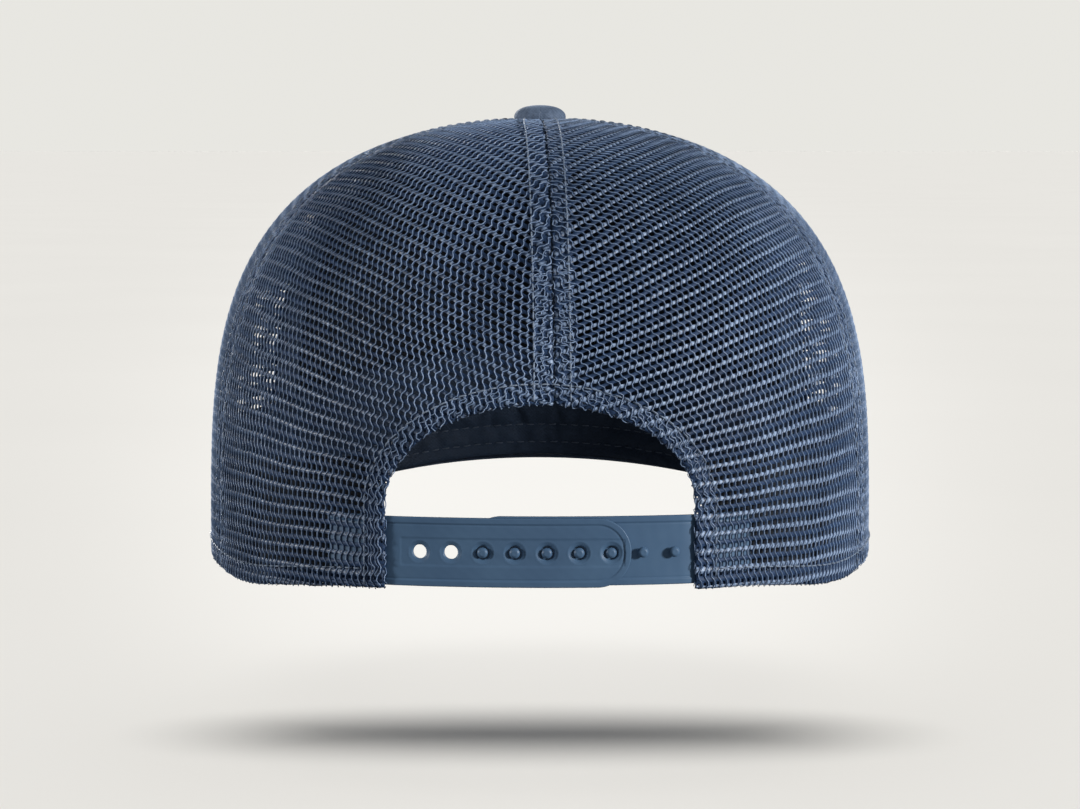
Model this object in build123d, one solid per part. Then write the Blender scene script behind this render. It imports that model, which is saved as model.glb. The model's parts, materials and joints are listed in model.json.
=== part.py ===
from build123d import *
import math
import os

# Trucker cap in millimetres. The head opening's rim lies in z = 0 with its centre at the
# origin, +Z is up, the visor points to -Y and the snap closure is at +Y. Left and right are
# the wearer's, so left is +X. Azimuth is in degrees from the back (+Y) towards the left (+X).

# Crown
HALF_WIDTH = 90.0
HALF_LENGTH = 96.0
CROWN_HEIGHT = 117.5
ROUNDNESS = 2.2  # power of the outline across the crown
SHOULDER = 3.6  # power of the outline up the crown, at the sides
SHOULDER_SHIFT = 0.5  # the front shoulder is squarer and the back shoulder rounder by this
TOP_HOLE_RADIUS = 3.5
VISOR_ARCH = 17.0  # rise of the rim at the middle of the front
BACK_SEAM = -2.2  # the back seam is a little to the right of the closure's middle
BACK_SIDE_SEAM = 70.0
SIDE_FRONT_SEAM = 125.0
SEAM_GAP = 0.2  # half of the clearance between neighbouring panels, in degrees

# Layers of the crown wall: depth of the outer face below the crown's surface, and thickness
MESH_LAYER = (0.0, 0.7)
TAPE_LAYER = (0.8, 0.5)
FOAM_LAYER = (0.8, 1.8)
ANCHOR_LAYER = (1.4, 1.2)
PAD_LAYER = (2.8, 1.0)
BAND_LAYER = (3.9, 0.7)

# Edges and inner trims
HEM_WIDTH = 4.8
HEM_START = 20.0  # azimuth where the rim hems begin, before the opening cuts them back
FLAT_CUT = 1.0  # the back panels start this far down and are cut flat in the rim plane
TAPE_HALF_WIDTH = 5.0
TRIM_GAP = 0.4
TAPE_TOP_RADIUS = 12.0
FOAM_TOP_RADIUS = 11.0
BAND_LOW = 1.2
BAND_HIGH = 33.0
BAND_END = 27.0  # azimuth of the sweatband's ends

# Closure opening in the back of the crown
OPENING_HALF_WIDTH = 39.0
OPENING_SIDE_HEIGHT = 21.0
OPENING_HEIGHT = 46.5

# Snap straps
STRAP_LOW = 0.75
STRAP_HEIGHT = 17.3
STRAP_THICKNESS = 1.2
STRAP_GAP = 0.15
STRAP_RADIUS = 140.0
HINGE_AZIMUTH = 24.0
ANCHOR_START = 24.55
ANCHOR_END = 35.5
SNAP_PITCH = 8.0
FIRST_HOLE = 8.0  # along the strap from its hinge line
HOLE_COUNT = 7
HOLE_RADIUS = 1.75
RING_RADIUS = 2.7  # shallow sunk ring round each hole
RING_DEPTH = 0.25
FIRST_PEG = 2  # the first peg sits in the third hole
PEG_COUNT = 7
PEG_NECK_RADIUS = 1.05
PEG_HEAD_RADIUS = 1.3
PEG_HEIGHT = 1.75
PEG_NECK_HEIGHT = 0.79
PEG_HEAD_HEIGHT = 0.53
HOLE_STRAP_TAIL = 5.0
PEG_STRAP_TAIL = 4.0
END_ROUND = 8.4
PANEL_DEPTH = 0.2
PANEL_HALF_HEIGHT = 3.4
PANEL_START = 4.8  # from the first hole's centre back to the sunk panel's edge
PANEL_END = 3.36  # from the last hole's centre on to the sunk panel's edge
PEG_STRAP_RISE = 0.35  # the peg strap sits this much higher than the hole strap

# Visor
VISOR_REACH = 70.0
VISOR_HALF_WIDTH = 84.0
VISOR_WIDEST = -75.0  # y of the widest place
VISOR_ROOT = 57.0  # length of the quarter ellipse from the widest place towards the crown
VISOR_POWER = 2.4
VISOR_THICKNESS = 3.8
VISOR_SLOPE = 3.0
VISOR_CLEARANCE = 0.3
BOARD_THICKNESS = 2.2
BOARD_INSET = 1.4
COVER_GAP = 0.1

# Top button
BUTTON_RADIUS = 7.25
BUTTON_HEIGHT = 3.5
BUTTON_SKIN = 0.5
RIVET_RADIUS = 2.3
RIVET_HEAD_RADIUS = 4.0
RIVET_HEAD_HEIGHT = 1.2
WASHER_RADIUS = 6.5
WASHER_THICKNESS = 0.6
WASHER_DEPTH = 0.85  # below the crown's top

os.makedirs("parts", exist_ok=True)


def save(shape, name):
    """Write one node to its own file."""
    export_step(Compound(children=list(shape.solids())), f"parts/{name}.step")


def plan_radius(azimuth):
    """Distance from the axis to the crown's outline in the rim plane."""
    angle = math.radians(azimuth)
    return 1 / math.hypot(math.sin(angle) / HALF_WIDTH, math.cos(angle) / HALF_LENGTH)


def shoulder_power(azimuth):
    return SHOULDER - SHOULDER_SHIFT * math.cos(math.radians(azimuth))


def dome_radius(azimuth, height):
    """Distance from the axis to the crown's outer face at a height."""
    rise = max(height / CROWN_HEIGHT, 0) ** shoulder_power(azimuth)
    return plan_radius(azimuth) * (1 - rise) ** (1 / ROUNDNESS)


def surface_point(azimuth, elevation):
    """Point of the crown's outer face seen from the origin at an elevation in degrees."""
    angle = math.radians(azimuth)
    across = math.cos(math.radians(elevation))
    up = math.sin(math.radians(elevation))
    dome_up = max(up, 0) / CROWN_HEIGHT
    plan = plan_radius(azimuth)
    power = shoulder_power(azimuth)
    near, far = 0.0, 200.0
    for _ in range(50):
        middle = (near + far) / 2
        reach = (middle * across / plan) ** ROUNDNESS + (middle * dome_up) ** power
        if reach < 1:
            near = middle
        else:
            far = middle
    return Vector(near * across * math.sin(angle), near * across * math.cos(angle), near * up)


def layer_point(azimuth, elevation, depth):
    """Point at a depth below the crown's outer face, measured along the face's normal."""
    step = 0.05
    along = surface_point(azimuth + step, elevation) - surface_point(azimuth - step, elevation)
    upward = surface_point(azimuth, elevation + step) - surface_point(azimuth, elevation - step)
    inward = along.cross(upward).normalized()
    point = surface_point(azimuth, elevation)
    if inward.dot(point) > 0:
        inward = -inward
    return point + inward * depth


def elevation_at(azimuth, height):
    return math.degrees(math.atan2(height, dome_radius(azimuth, height)))


def rim_height(azimuth):
    """Height of the rim: flat at the back and sides, arched over the visor."""
    forward = max(0.0, -math.cos(math.radians(azimuth)))
    return VISOR_ARCH * forward**2


def above_rim(distance):
    """A height that keeps a distance from the rim at every azimuth."""
    return lambda azimuth: rim_height(azimuth) + distance


def near_top(radius):
    """An elevation that stops at a distance from the axis, close to the top."""
    return lambda azimuth: math.degrees(math.atan2(CROWN_HEIGHT, radius))


def up_to(distance):
    """An elevation that stops at a distance above the rim."""
    return lambda azimuth: elevation_at(azimuth, rim_height(azimuth) + distance)


def panel(start, end, low, high, layer, columns=11, rows=15):
    """Solid piece of one crown layer from azimuth start to end, low to high."""
    depth, thickness = layer
    grid = []
    for row in range(rows):
        line = []
        for column in range(columns):
            azimuth = start + (end - start) * column / (columns - 1)
            bottom = elevation_at(azimuth, low(azimuth))
            elevation = bottom + (high(azimuth) - bottom) * row / (rows - 1)
            line.append(layer_point(azimuth, elevation, depth))
        grid.append(line)
    face = Face.make_surface_from_array_of_points(grid)
    outward = face.normal_at().dot(face.center()) > 0
    return Solid.thicken(face, -thickness if outward else thickness)


def meridian_slab(azimuth, half_width):
    """Upright slab from the axis outwards, used to give a trim a constant width."""
    reach = 1.5 * HALF_LENGTH
    return Rotation(0, 0, -azimuth) * Pos(0, reach / 2, reach / 2) * Box(2 * half_width, reach, 2 * reach)


def opening(margin=0.0):
    """The closure opening's outline, grown by a margin and run through the back of the crown."""
    half = OPENING_HALF_WIDTH + margin
    arch = OPENING_HEIGHT - OPENING_SIDE_HEIGHT + margin
    below = 20.0
    sides = Pos(0, (OPENING_SIDE_HEIGHT - below) / 2) * Rectangle(2 * half, OPENING_SIDE_HEIGHT + below)
    outline = sides + Pos(0, OPENING_SIDE_HEIGHT) * Ellipse(half, arch)
    return extrude(Plane.XZ * outline, -150)


def mesh_panels():
    """Four mesh panels: two at the back around the closure and two at the sides."""
    top = near_top(TOP_HOLE_RADIUS)
    hole = opening()
    above_rim_plane = Pos(0, 0, 100) * Box(400, 400, 200)
    edges = {
        "left_back_mesh": (BACK_SEAM, BACK_SIDE_SEAM),
        "right_back_mesh": (-BACK_SIDE_SEAM, BACK_SEAM),
        "left_side_mesh": (BACK_SIDE_SEAM, SIDE_FRONT_SEAM),
        "right_side_mesh": (-SIDE_FRONT_SEAM, -BACK_SIDE_SEAM),
    }
    for name, (start, end) in edges.items():
        if "back" in name:
            piece = panel(start + SEAM_GAP, end - SEAM_GAP, above_rim(-FLAT_CUT), top, MESH_LAYER)
            piece = (piece & above_rim_plane) - hole
        else:
            piece = panel(start + SEAM_GAP, end - SEAM_GAP, rim_height, top, MESH_LAYER)
        save(piece, name)


def front():
    """Smooth front panel and the foam behind it, clear of the seam tapes."""
    start = SIDE_FRONT_SEAM + SEAM_GAP
    end = 360 - start
    save(panel(start, end, rim_height, near_top(TOP_HOLE_RADIUS), MESH_LAYER), "front_panel")
    foam = panel(start, end, rim_height, near_top(FOAM_TOP_RADIUS), FOAM_LAYER)
    for seam in (SIDE_FRONT_SEAM, -SIDE_FRONT_SEAM):
        foam = foam - meridian_slab(seam, TAPE_HALF_WIDTH + TRIM_GAP)
    save(foam, "front_foam")


def seam_tapes():
    """Tapes sewn over the five seams on the inside."""
    seams = {
        "back_seam_tape": BACK_SEAM,
        "left_back_seam_tape": BACK_SIDE_SEAM,
        "right_back_seam_tape": -BACK_SIDE_SEAM,
        "left_front_seam_tape": SIDE_FRONT_SEAM,
        "right_front_seam_tape": -SIDE_FRONT_SEAM,
    }
    half_range = math.degrees(TAPE_HALF_WIDTH / TAPE_TOP_RADIUS) + 3
    for name, seam in seams.items():
        low = above_rim(HEM_WIDTH + TRIM_GAP)
        strip = panel(seam - half_range, seam + half_range, low, near_top(TAPE_TOP_RADIUS), TAPE_LAYER)
        tape = strip & meridian_slab(seam, TAPE_HALF_WIDTH)
        if seam == BACK_SEAM:
            tape = tape - opening(HEM_WIDTH + TRIM_GAP)
        save(tape, name)


def hems():
    """Folded edges inside the rim and around the closure opening."""
    side = 40.0
    around = panel(-side, side, rim_height, up_to(OPENING_HEIGHT + 2 * HEM_WIDTH), TAPE_LAYER)
    save((around & opening(HEM_WIDTH)) - opening(), "opening_hem")
    last = SIDE_FRONT_SEAM + math.degrees(TAPE_HALF_WIDTH / HALF_LENGTH)
    for name, side in (("left_rim_hem", 1), ("right_rim_hem", -1)):
        start, end = sorted((side * HEM_START, side * last))
        hem = panel(start, end, rim_height, up_to(HEM_WIDTH), TAPE_LAYER, columns=21, rows=4)
        save(hem - opening(HEM_WIDTH + TRIM_GAP), name)


def sweatband():
    """Sweatband and its backing pad, open at the back between the tabs."""
    low, high = above_rim(BAND_LOW), up_to(BAND_HIGH)
    for name, layer in (("sweatband_pad", PAD_LAYER), ("sweatband", BAND_LAYER)):
        save(panel(BAND_END, 360 - BAND_END, low, high, layer, columns=41, rows=5), name)


def hinge_point(side):
    """Flex line of a strap, in plan, beside the edge of its tab."""
    depth = ANCHOR_LAYER[0] + ANCHOR_LAYER[1] / 2
    point = layer_point(side * HINGE_AZIMUTH, 0, depth)
    return point.X, point.Y


# The two straps lie on arcs with one centre, the hole strap outside the peg strap.
STRAP_STEP = STRAP_THICKNESS + STRAP_GAP
HINGE_X, HINGE_Y = hinge_point(1)
ARC_X = -(STRAP_RADIUS**2 - (STRAP_RADIUS - STRAP_STEP) ** 2) / (4 * HINGE_X)
ARC_Y = HINGE_Y - math.sqrt(STRAP_RADIUS**2 - (HINGE_X - ARC_X) ** 2)
HOLE_ARC = STRAP_RADIUS
PEG_ARC = STRAP_RADIUS - STRAP_STEP
HOLE_HINGE_ANGLE = math.degrees(math.asin((HINGE_X - ARC_X) / HOLE_ARC))
PEG_HINGE_ANGLE = -math.degrees(math.asin((HINGE_X + ARC_X) / PEG_ARC))
STRAP_MIDDLE = STRAP_LOW + STRAP_HEIGHT / 2


def snap_angle(index):
    """Angle of a snap position on the straps' arc, counted from the hole next to the hinge."""
    return HOLE_HINGE_ANGLE - math.degrees((FIRST_HOLE + SNAP_PITCH * index) / HOLE_ARC)


def on_arc(angle, radius, height):
    """A place on the straps' arc with local Z pointing outwards and local X along the strap."""
    turned = math.radians(angle)
    origin = (ARC_X + radius * math.sin(turned), ARC_Y + radius * math.cos(turned), height)
    outward = (math.sin(turned), math.cos(turned), 0)
    along = (math.cos(turned), -math.sin(turned), 0)
    return Plane(origin=origin, x_dir=along, z_dir=outward)


def arc_band(start, end, inner, outer, low, height):
    """Curved plate between two angles of the straps' arc."""
    ring = Circle(outer) - Circle(inner)
    reach = 2 * outer
    corners = [(0, 0)]
    for angle in (start, end):
        turned = math.radians(angle)
        corners.append((reach * math.sin(turned), reach * math.cos(turned)))
    wedge = make_face(Polyline(*corners, close=True))
    return extrude(Pos(ARC_X, ARC_Y, low) * (ring & wedge), height)


def strap_plate(hinge_angle, end_angle, arc, rise):
    """Strap blank with a bead on its hinge line and a rounded free end."""
    half = STRAP_THICKNESS / 2
    low = STRAP_LOW + rise
    plate = arc_band(hinge_angle, end_angle, arc - half, arc + half, low, STRAP_HEIGHT)
    tip = on_arc(end_angle, arc, low + STRAP_HEIGHT / 2).origin
    corners = plate.edges().filter_by(lambda edge: abs(edge.length - STRAP_THICKNESS) < 0.01)
    corners = corners.filter_by(lambda edge: (edge.center() - tip).length < STRAP_HEIGHT)
    plate = fillet(corners, END_ROUND)
    place = on_arc(hinge_angle, arc, 0).origin
    bead = Pos(place.X, place.Y, low + STRAP_HEIGHT / 2) * Cylinder(half, STRAP_HEIGHT)
    return plate + bead


def hole_strap():
    """Outer strap: a shallow sunk panel with seven holes."""
    last = snap_angle(HOLE_COUNT - 1)
    end = last - math.degrees(HOLE_STRAP_TAIL / HOLE_ARC)
    strap = strap_plate(HOLE_HINGE_ANGLE, end, HOLE_ARC, 0)
    outer = HOLE_ARC + STRAP_THICKNESS / 2
    sunk = arc_band(
        snap_angle(0) + math.degrees(PANEL_START / HOLE_ARC),
        last - math.degrees(PANEL_END / HOLE_ARC),
        outer - PANEL_DEPTH,
        outer + 1,
        STRAP_MIDDLE - PANEL_HALF_HEIGHT,
        2 * PANEL_HALF_HEIGHT,
    )
    strap = strap - sunk
    floor = outer - PANEL_DEPTH
    for index in range(HOLE_COUNT):
        angle = snap_angle(index)
        strap = strap - on_arc(angle, HOLE_ARC, STRAP_MIDDLE) * Cylinder(HOLE_RADIUS, 6)
        ring = Cylinder(RING_RADIUS, 2 * RING_DEPTH)
        strap = strap - on_arc(angle, floor, STRAP_MIDDLE) * ring
    save(strap, "hole_strap")


def peg():
    """One snap peg standing on local z = 0: a neck, a wider head and a rounded tip."""
    neck = PEG_NECK_HEIGHT
    head = PEG_HEAD_HEIGHT
    root = 0.2
    lines = [
        Line((0, -root), (PEG_NECK_RADIUS, -root)),
        Line((PEG_NECK_RADIUS, -root), (PEG_NECK_RADIUS, neck)),
        Line((PEG_NECK_RADIUS, neck), (PEG_HEAD_RADIUS, neck + head / 2)),
        Line((PEG_HEAD_RADIUS, neck + head / 2), (PEG_HEAD_RADIUS, neck + head)),
        Spline(
            (PEG_HEAD_RADIUS, neck + head),
            (0, PEG_HEIGHT),
            tangents=[(0, 1), (-1, 0)],
        ),
        Line((0, PEG_HEIGHT), (0, -root)),
    ]
    profile = make_face(Curve() + lines)
    return revolve(Plane.XZ * profile, Axis.Z)


def peg_strap():
    """Inner strap: seven pegs on its outer face."""
    first = snap_angle(FIRST_PEG)
    end = first + math.degrees(PEG_STRAP_TAIL / PEG_ARC)
    strap = strap_plate(PEG_HINGE_ANGLE, end, PEG_ARC, PEG_STRAP_RISE)
    shape = peg()
    for index in range(PEG_COUNT):
        angle = snap_angle(FIRST_PEG + index)
        strap = strap + on_arc(angle, PEG_ARC + STRAP_THICKNESS / 2, STRAP_MIDDLE) * shape
    save(strap, "peg_strap")


def strap_anchors():
    """Ends of the straps that are sewn inside the tabs."""
    for name, side, rise in (("hole_strap_anchor", 1, 0), ("peg_strap_anchor", -1, PEG_STRAP_RISE)):
        start, end = sorted((side * ANCHOR_START, side * ANCHOR_END))
        low = above_rim(STRAP_LOW + rise)
        high = up_to(STRAP_LOW + rise + STRAP_HEIGHT)
        save(panel(start, end, low, high, ANCHOR_LAYER, columns=6, rows=4), name)


def visor_outline(inset):
    """Plan of the visor as a prism: a broad curve in front, drawn in towards the crown."""
    half = VISOR_HALF_WIDTH - inset
    reach = HALF_LENGTH + VISOR_REACH + VISOR_WIDEST - inset
    points = []
    for step in range(-12, 13):
        angle = math.radians(90 * step / 12)
        across = math.copysign(abs(math.sin(angle)) ** (2 / VISOR_POWER), angle)
        forward = abs(math.cos(angle)) ** (2 / VISOR_POWER)
        points.append((half * across, -reach * forward))
    front_edge = Spline(*points, tangents=[(0, -1), (0, 1)])
    front_part = make_face(Curve() + [front_edge, Line((half, 0), (-half, 0))])
    root = Ellipse(half, VISOR_ROOT - inset) & Pos(0, half) * Rectangle(2 * half, 2 * half)
    plan = Pos(0, VISOR_WIDEST) * (front_part + root)
    return extrude(Pos(0, 0, -40) * plan, 120)


def visor_sheet(low, thickness):
    """Arched sheet across the cap, a distance above the visor's underside."""
    side = VISOR_HALF_WIDTH + 6
    edge = VISOR_ARCH * (1 - (side / HALF_WIDTH) ** 2) + low
    crest = 2 * (VISOR_ARCH + low) - edge
    outline = [
        Bezier((-side, edge), (0, crest), (side, edge)),
        Line((side, edge), (side, edge + thickness)),
        Bezier((side, edge + thickness), (0, crest + thickness), (-side, edge + thickness)),
        Line((-side, edge + thickness), (-side, edge)),
    ]
    return extrude(Plane.XZ * make_face(Curve() + outline), 200)


def visor_layer(inset, low, thickness):
    """One layer of the visor, sloped and cut to the crown with the same inset on every edge."""
    sheet = visor_outline(inset) & visor_sheet(low, thickness)
    pivot = Pos(0, VISOR_WIDEST, VISOR_ARCH)
    sloped = pivot * Rotation(VISOR_SLOPE, 0, 0) * Pos(0, -VISOR_WIDEST, -VISOR_ARCH) * sheet
    margin = VISOR_CLEARANCE + inset
    crown = extrude(Pos(0, 0, -40) * Ellipse(HALF_WIDTH + margin, HALF_LENGTH + margin), 120)
    return sloped - crown


def visor():
    """Stiff board between a top cover and an under cover that meet around its edge."""
    skin = (VISOR_THICKNESS - BOARD_THICKNESS) / 2
    half = VISOR_THICKNESS / 2 - COVER_GAP / 4
    pocket = visor_layer(BOARD_INSET - COVER_GAP, skin - COVER_GAP, BOARD_THICKNESS + 2 * COVER_GAP)
    save(visor_layer(BOARD_INSET, skin, BOARD_THICKNESS), "visor_board")
    save(visor_layer(0, VISOR_THICKNESS - half, half) - pocket, "visor_top_cover")
    save(visor_layer(0, 0, half) - pocket, "visor_under_cover")


def low_dome(radius, height):
    """Domed disc with a short straight edge, standing on z = 0."""
    crown = height * 0.7
    ball = (radius**2 + crown**2) / (2 * crown)
    return Pos(0, 0, height - ball) * Sphere(ball) & Pos(0, 0, height / 2) * Cylinder(radius, height)


def button():
    """Covered button on the crown's top, its core, and the rivet and washer that hold it."""
    gap = 0.1
    base = CROWN_HEIGHT + gap
    core_radius = BUTTON_RADIUS - BUTTON_SKIN - gap
    core_height = BUTTON_HEIGHT - BUTTON_SKIN - gap
    socket_depth = 1.4
    hollow = low_dome(core_radius + gap, core_height + gap)
    save(Pos(0, 0, base) * (low_dome(BUTTON_RADIUS, BUTTON_HEIGHT) - hollow), "button_cover")
    socket = Cylinder(RIVET_RADIUS + gap, 2 * socket_depth)
    save(Pos(0, 0, base) * (low_dome(core_radius, core_height) - socket), "button_core")
    washer_top = CROWN_HEIGHT - WASHER_DEPTH
    washer = Cylinder(WASHER_RADIUS, WASHER_THICKNESS) - Cylinder(RIVET_RADIUS + gap, 2)
    save(Pos(0, 0, washer_top - WASHER_THICKNESS / 2) * washer, "button_washer")
    head_top = washer_top - WASHER_THICKNESS - gap
    post_top = base + socket_depth - gap
    post = Pos(0, 0, (head_top + post_top) / 2) * Cylinder(RIVET_RADIUS, post_top - head_top)
    head = Pos(0, 0, head_top) * Rotation(180, 0, 0) * low_dome(RIVET_HEAD_RADIUS, RIVET_HEAD_HEIGHT)
    save(post + head, "button_rivet")


mesh_panels()
front()
seam_tapes()
hems()
sweatband()
strap_anchors()
hole_strap()
peg_strap()
visor()
button()
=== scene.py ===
import json
import math

import bmesh
import bpy
import numpy as np
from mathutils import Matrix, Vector


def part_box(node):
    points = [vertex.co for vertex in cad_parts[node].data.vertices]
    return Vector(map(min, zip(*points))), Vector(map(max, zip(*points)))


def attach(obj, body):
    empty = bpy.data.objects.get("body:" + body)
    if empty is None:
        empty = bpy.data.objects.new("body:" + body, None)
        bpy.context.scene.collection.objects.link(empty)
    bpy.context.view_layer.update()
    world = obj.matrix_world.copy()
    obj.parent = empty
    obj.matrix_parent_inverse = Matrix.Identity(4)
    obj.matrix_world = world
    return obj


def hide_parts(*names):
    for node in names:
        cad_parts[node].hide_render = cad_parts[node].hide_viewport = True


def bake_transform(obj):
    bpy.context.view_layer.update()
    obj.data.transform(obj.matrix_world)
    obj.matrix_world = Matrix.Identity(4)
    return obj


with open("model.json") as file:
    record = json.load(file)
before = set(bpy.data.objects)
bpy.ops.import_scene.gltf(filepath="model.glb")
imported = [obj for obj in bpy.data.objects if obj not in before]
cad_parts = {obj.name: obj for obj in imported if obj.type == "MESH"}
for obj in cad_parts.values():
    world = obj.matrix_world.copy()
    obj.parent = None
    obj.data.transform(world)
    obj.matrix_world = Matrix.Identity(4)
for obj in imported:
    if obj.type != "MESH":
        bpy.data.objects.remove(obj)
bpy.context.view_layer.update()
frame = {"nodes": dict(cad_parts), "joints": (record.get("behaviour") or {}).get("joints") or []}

rng = np.random.default_rng(7)
MM = 0.001

# ---------------------------------------------------------------------------------------------
# The crown's shape, in millimetres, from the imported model. Azimuth (az) runs from the back (+Y)
# towards the wearer's left (+X), in radians, and s is the length up the crown from the rim plane.


def span(node):
    """Lowest and highest corner of a CAD node, in millimetres."""
    return [np.array(corner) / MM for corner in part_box(node)]


HALF_WIDTH = span("left_side_mesh")[1][0]
HALF_LENGTH = -span("front_panel")[0][1]
CROWN_HEIGHT = span("left_back_mesh")[1][2] + 0.03
HEM = 4.8
OPENING_HALF = span("opening_hem")[1][0] - HEM
OPENING_TOP = span("opening_hem")[1][2] - HEM
OPENING_SIDE = 21.0  # height of the opening's straight sides
VISOR_ARCH = 17.0
ROUNDNESS = 2.2
SHOULDER = 3.6
SHOULDER_SHIFT = 0.5
BACK_SEAM = math.radians(-2.2)
SIDE_SEAM = math.radians(70)
FRONT_SEAM = math.radians(125)
TOP_RADIUS = 3.6
FRONT_ROWS = (2.0, 6.5)  # stitched rows beside the front panel's seams
RIM_ROW = 4.0
RIM_DROOP = 3.0
DROOP_PLACE = math.radians(57)
DROOP_WIDTH = math.radians(18)
TAU = 2 * math.pi


def plan_radius(az, margin=0.0):
    return 1 / np.hypot(np.sin(az) / (HALF_WIDTH + margin), np.cos(az) / (HALF_LENGTH + margin))


def rim_height(az):
    """Height of the rim: arched over the visor, and drooping a little beside the snap tabs."""
    from_back = np.abs((az + math.pi) % TAU - math.pi)
    droop = RIM_DROOP * np.exp(-(((from_back - DROOP_PLACE) / DROOP_WIDTH) ** 2))
    return VISOR_ARCH * np.maximum(0.0, -np.cos(az)) ** 2 - droop


def meridian_tables():
    """Radius and height of the crown's face on a grid of azimuth and share of arc length."""
    az = np.radians(np.arange(-180, 541, 3))
    polar = np.linspace(0, math.pi / 2, 500)
    plan = plan_radius(az)[:, None]
    power = (SHOULDER - SHOULDER_SHIFT * np.cos(az))[:, None]
    near = np.zeros((len(az), len(polar)))
    far = near + 200.0
    for _ in range(40):
        middle = (near + far) / 2
        reach = (middle * np.cos(polar) / plan) ** ROUNDNESS
        reach = reach + (middle * np.sin(polar) / CROWN_HEIGHT) ** power
        near, far = np.where(reach < 1, middle, near), np.where(reach < 1, far, middle)
    radius, height = near * np.cos(polar), near * np.sin(polar)
    step = np.hypot(np.diff(radius, axis=1), np.diff(height, axis=1))
    length = np.concatenate([np.zeros((len(az), 1)), np.cumsum(step, axis=1)], axis=1)
    share, total = np.linspace(0, 1, 400), length[:, -1]
    radii, heights = [
        np.array([np.interp(share * t, s, row) for t, s, row in zip(total, length, grid)])
        for grid in (radius, height)
    ]
    return az, total, radii, heights


TABLE_AZ, TOTAL, RADII, HEIGHTS = meridian_tables()


def table_column(az):
    return (az - TABLE_AZ[0]) / (TABLE_AZ[1] - TABLE_AZ[0])


def radius_height(az, s):
    """Radius and height at an azimuth and length up the crown; straight down below the rim plane."""
    column = table_column(az)
    left = np.clip(column.astype(int), 0, len(TABLE_AZ) - 2)
    across = column - left
    total = TOTAL[left] * (1 - across) + TOTAL[left + 1] * across
    row = np.clip(s / total, 0, 1) * (RADII.shape[1] - 1)
    low = np.clip(row.astype(int), 0, RADII.shape[1] - 2)
    up = row - low

    def between(grid):
        below = grid[left, low] * (1 - across) + grid[left + 1, low] * across
        above = grid[left, low + 1] * (1 - across) + grid[left + 1, low + 1] * across
        return below * (1 - up) + above * up

    return between(RADII), between(HEIGHTS) + np.minimum(s, 0)


def surface(az, s):
    """Points of the crown's outer face."""
    radius, height = radius_height(az, s)
    return np.stack([radius * np.sin(az), radius * np.cos(az), height], axis=-1)


def unit(v):
    return v / np.maximum(np.linalg.norm(v, axis=-1, keepdims=True), 1e-9)


def soft(x, width):
    """0 below -width, 1 above width, smooth between."""
    t = np.clip((x / width + 1) / 2, 0, 1)
    return t * t * (3 - 2 * t)


def crown_frame(az, s):
    """Point, outward normal, direction of growing azimuth and direction up the crown."""
    az, s = np.broadcast_arrays(np.asarray(az, float), np.asarray(s, float))
    turn, step = 0.01, 0.5
    along = unit(surface(az + turn, s) - surface(az - turn, s))
    upward = unit(surface(az, s + step) - surface(az, s - step))
    return surface(az, s), unit(np.cross(upward, along)), along, upward


def below_face(az, s, depth=0.0):
    """Points a depth under the crown's face, and its normals."""
    point, normal, _, _ = crown_frame(az, s)
    return point - normal * np.asarray(depth)[..., None], normal


def length_at(az, height):
    """Length up the crown at which it reaches a height."""
    az, height = np.broadcast_arrays(np.asarray(az, float), np.asarray(height, float))
    s = height.astype(float).copy()
    for _ in range(12):
        rise = radius_height(az, s + 0.5)[1] - radius_height(az, s - 0.5)[1]
        s = s + (height - radius_height(az, s)[1]) / np.maximum(rise, 0.3)
    return s


def rim_length(az):
    return length_at(az, rim_height(az))


def top_length(az, radius=TOP_RADIUS):
    """Length up the crown at which it comes within a radius of the axis."""
    column = np.clip(table_column(np.asarray(az, float)), 0, len(TABLE_AZ) - 1)
    return np.interp(column, np.arange(len(TABLE_AZ)), TOTAL) - radius


# ---------------------------------------------------------------------------------------------
# Mesh helpers


def add_piece(
    name, points, faces, material, slot, *nodes, body="crown", face_material=None, uv=None, turn_out=False
):
    """Piece from points in millimetres that rides a body and stands for CAD nodes."""
    mesh = bpy.data.meshes.new(name)
    mesh.from_pydata((np.asarray(points, float) * MM).tolist(), [], [list(map(int, f)) for f in faces])
    mesh.polygons.foreach_set("use_smooth", np.ones(len(mesh.polygons), bool))
    for each in material if isinstance(material, tuple) else (material,):
        mesh.materials.append(each)
    if face_material is not None:
        mesh.polygons.foreach_set("material_index", np.asarray(face_material, np.int32))
    if uv is not None:
        corners = np.zeros(len(mesh.loops), np.int32)
        mesh.loops.foreach_get("vertex_index", corners)
        mesh.uv_layers.new(name="knit").data.foreach_set("uv", uv[corners].ravel())
    if turn_out:
        work = bmesh.new()
        work.from_mesh(mesh)
        bmesh.ops.recalc_face_normals(work, faces=work.faces)
        work.to_mesh(mesh)
        work.free()
    mesh.update()
    piece = bpy.data.objects.new(name, mesh)
    bpy.context.scene.collection.objects.link(piece)
    if body:
        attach(piece, body)
    if nodes:
        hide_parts(*nodes)
    return piece


def grid_faces(rows, columns):
    """Quads of a grid of points numbered row by row."""
    index = np.arange(rows * columns).reshape(rows, columns)
    return np.stack([index[:-1, :-1], index[:-1, 1:], index[1:, 1:], index[1:, :-1]], axis=-1).reshape(-1, 4)


def ring_faces(index):
    """Quads between closed rings of points, one ring in each row of numbers."""
    after = np.roll(index, -1, axis=1)
    return np.stack([index[:-1], after[:-1], after[1:], index[1:]], axis=-1).reshape(-1, 4).tolist()


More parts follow.
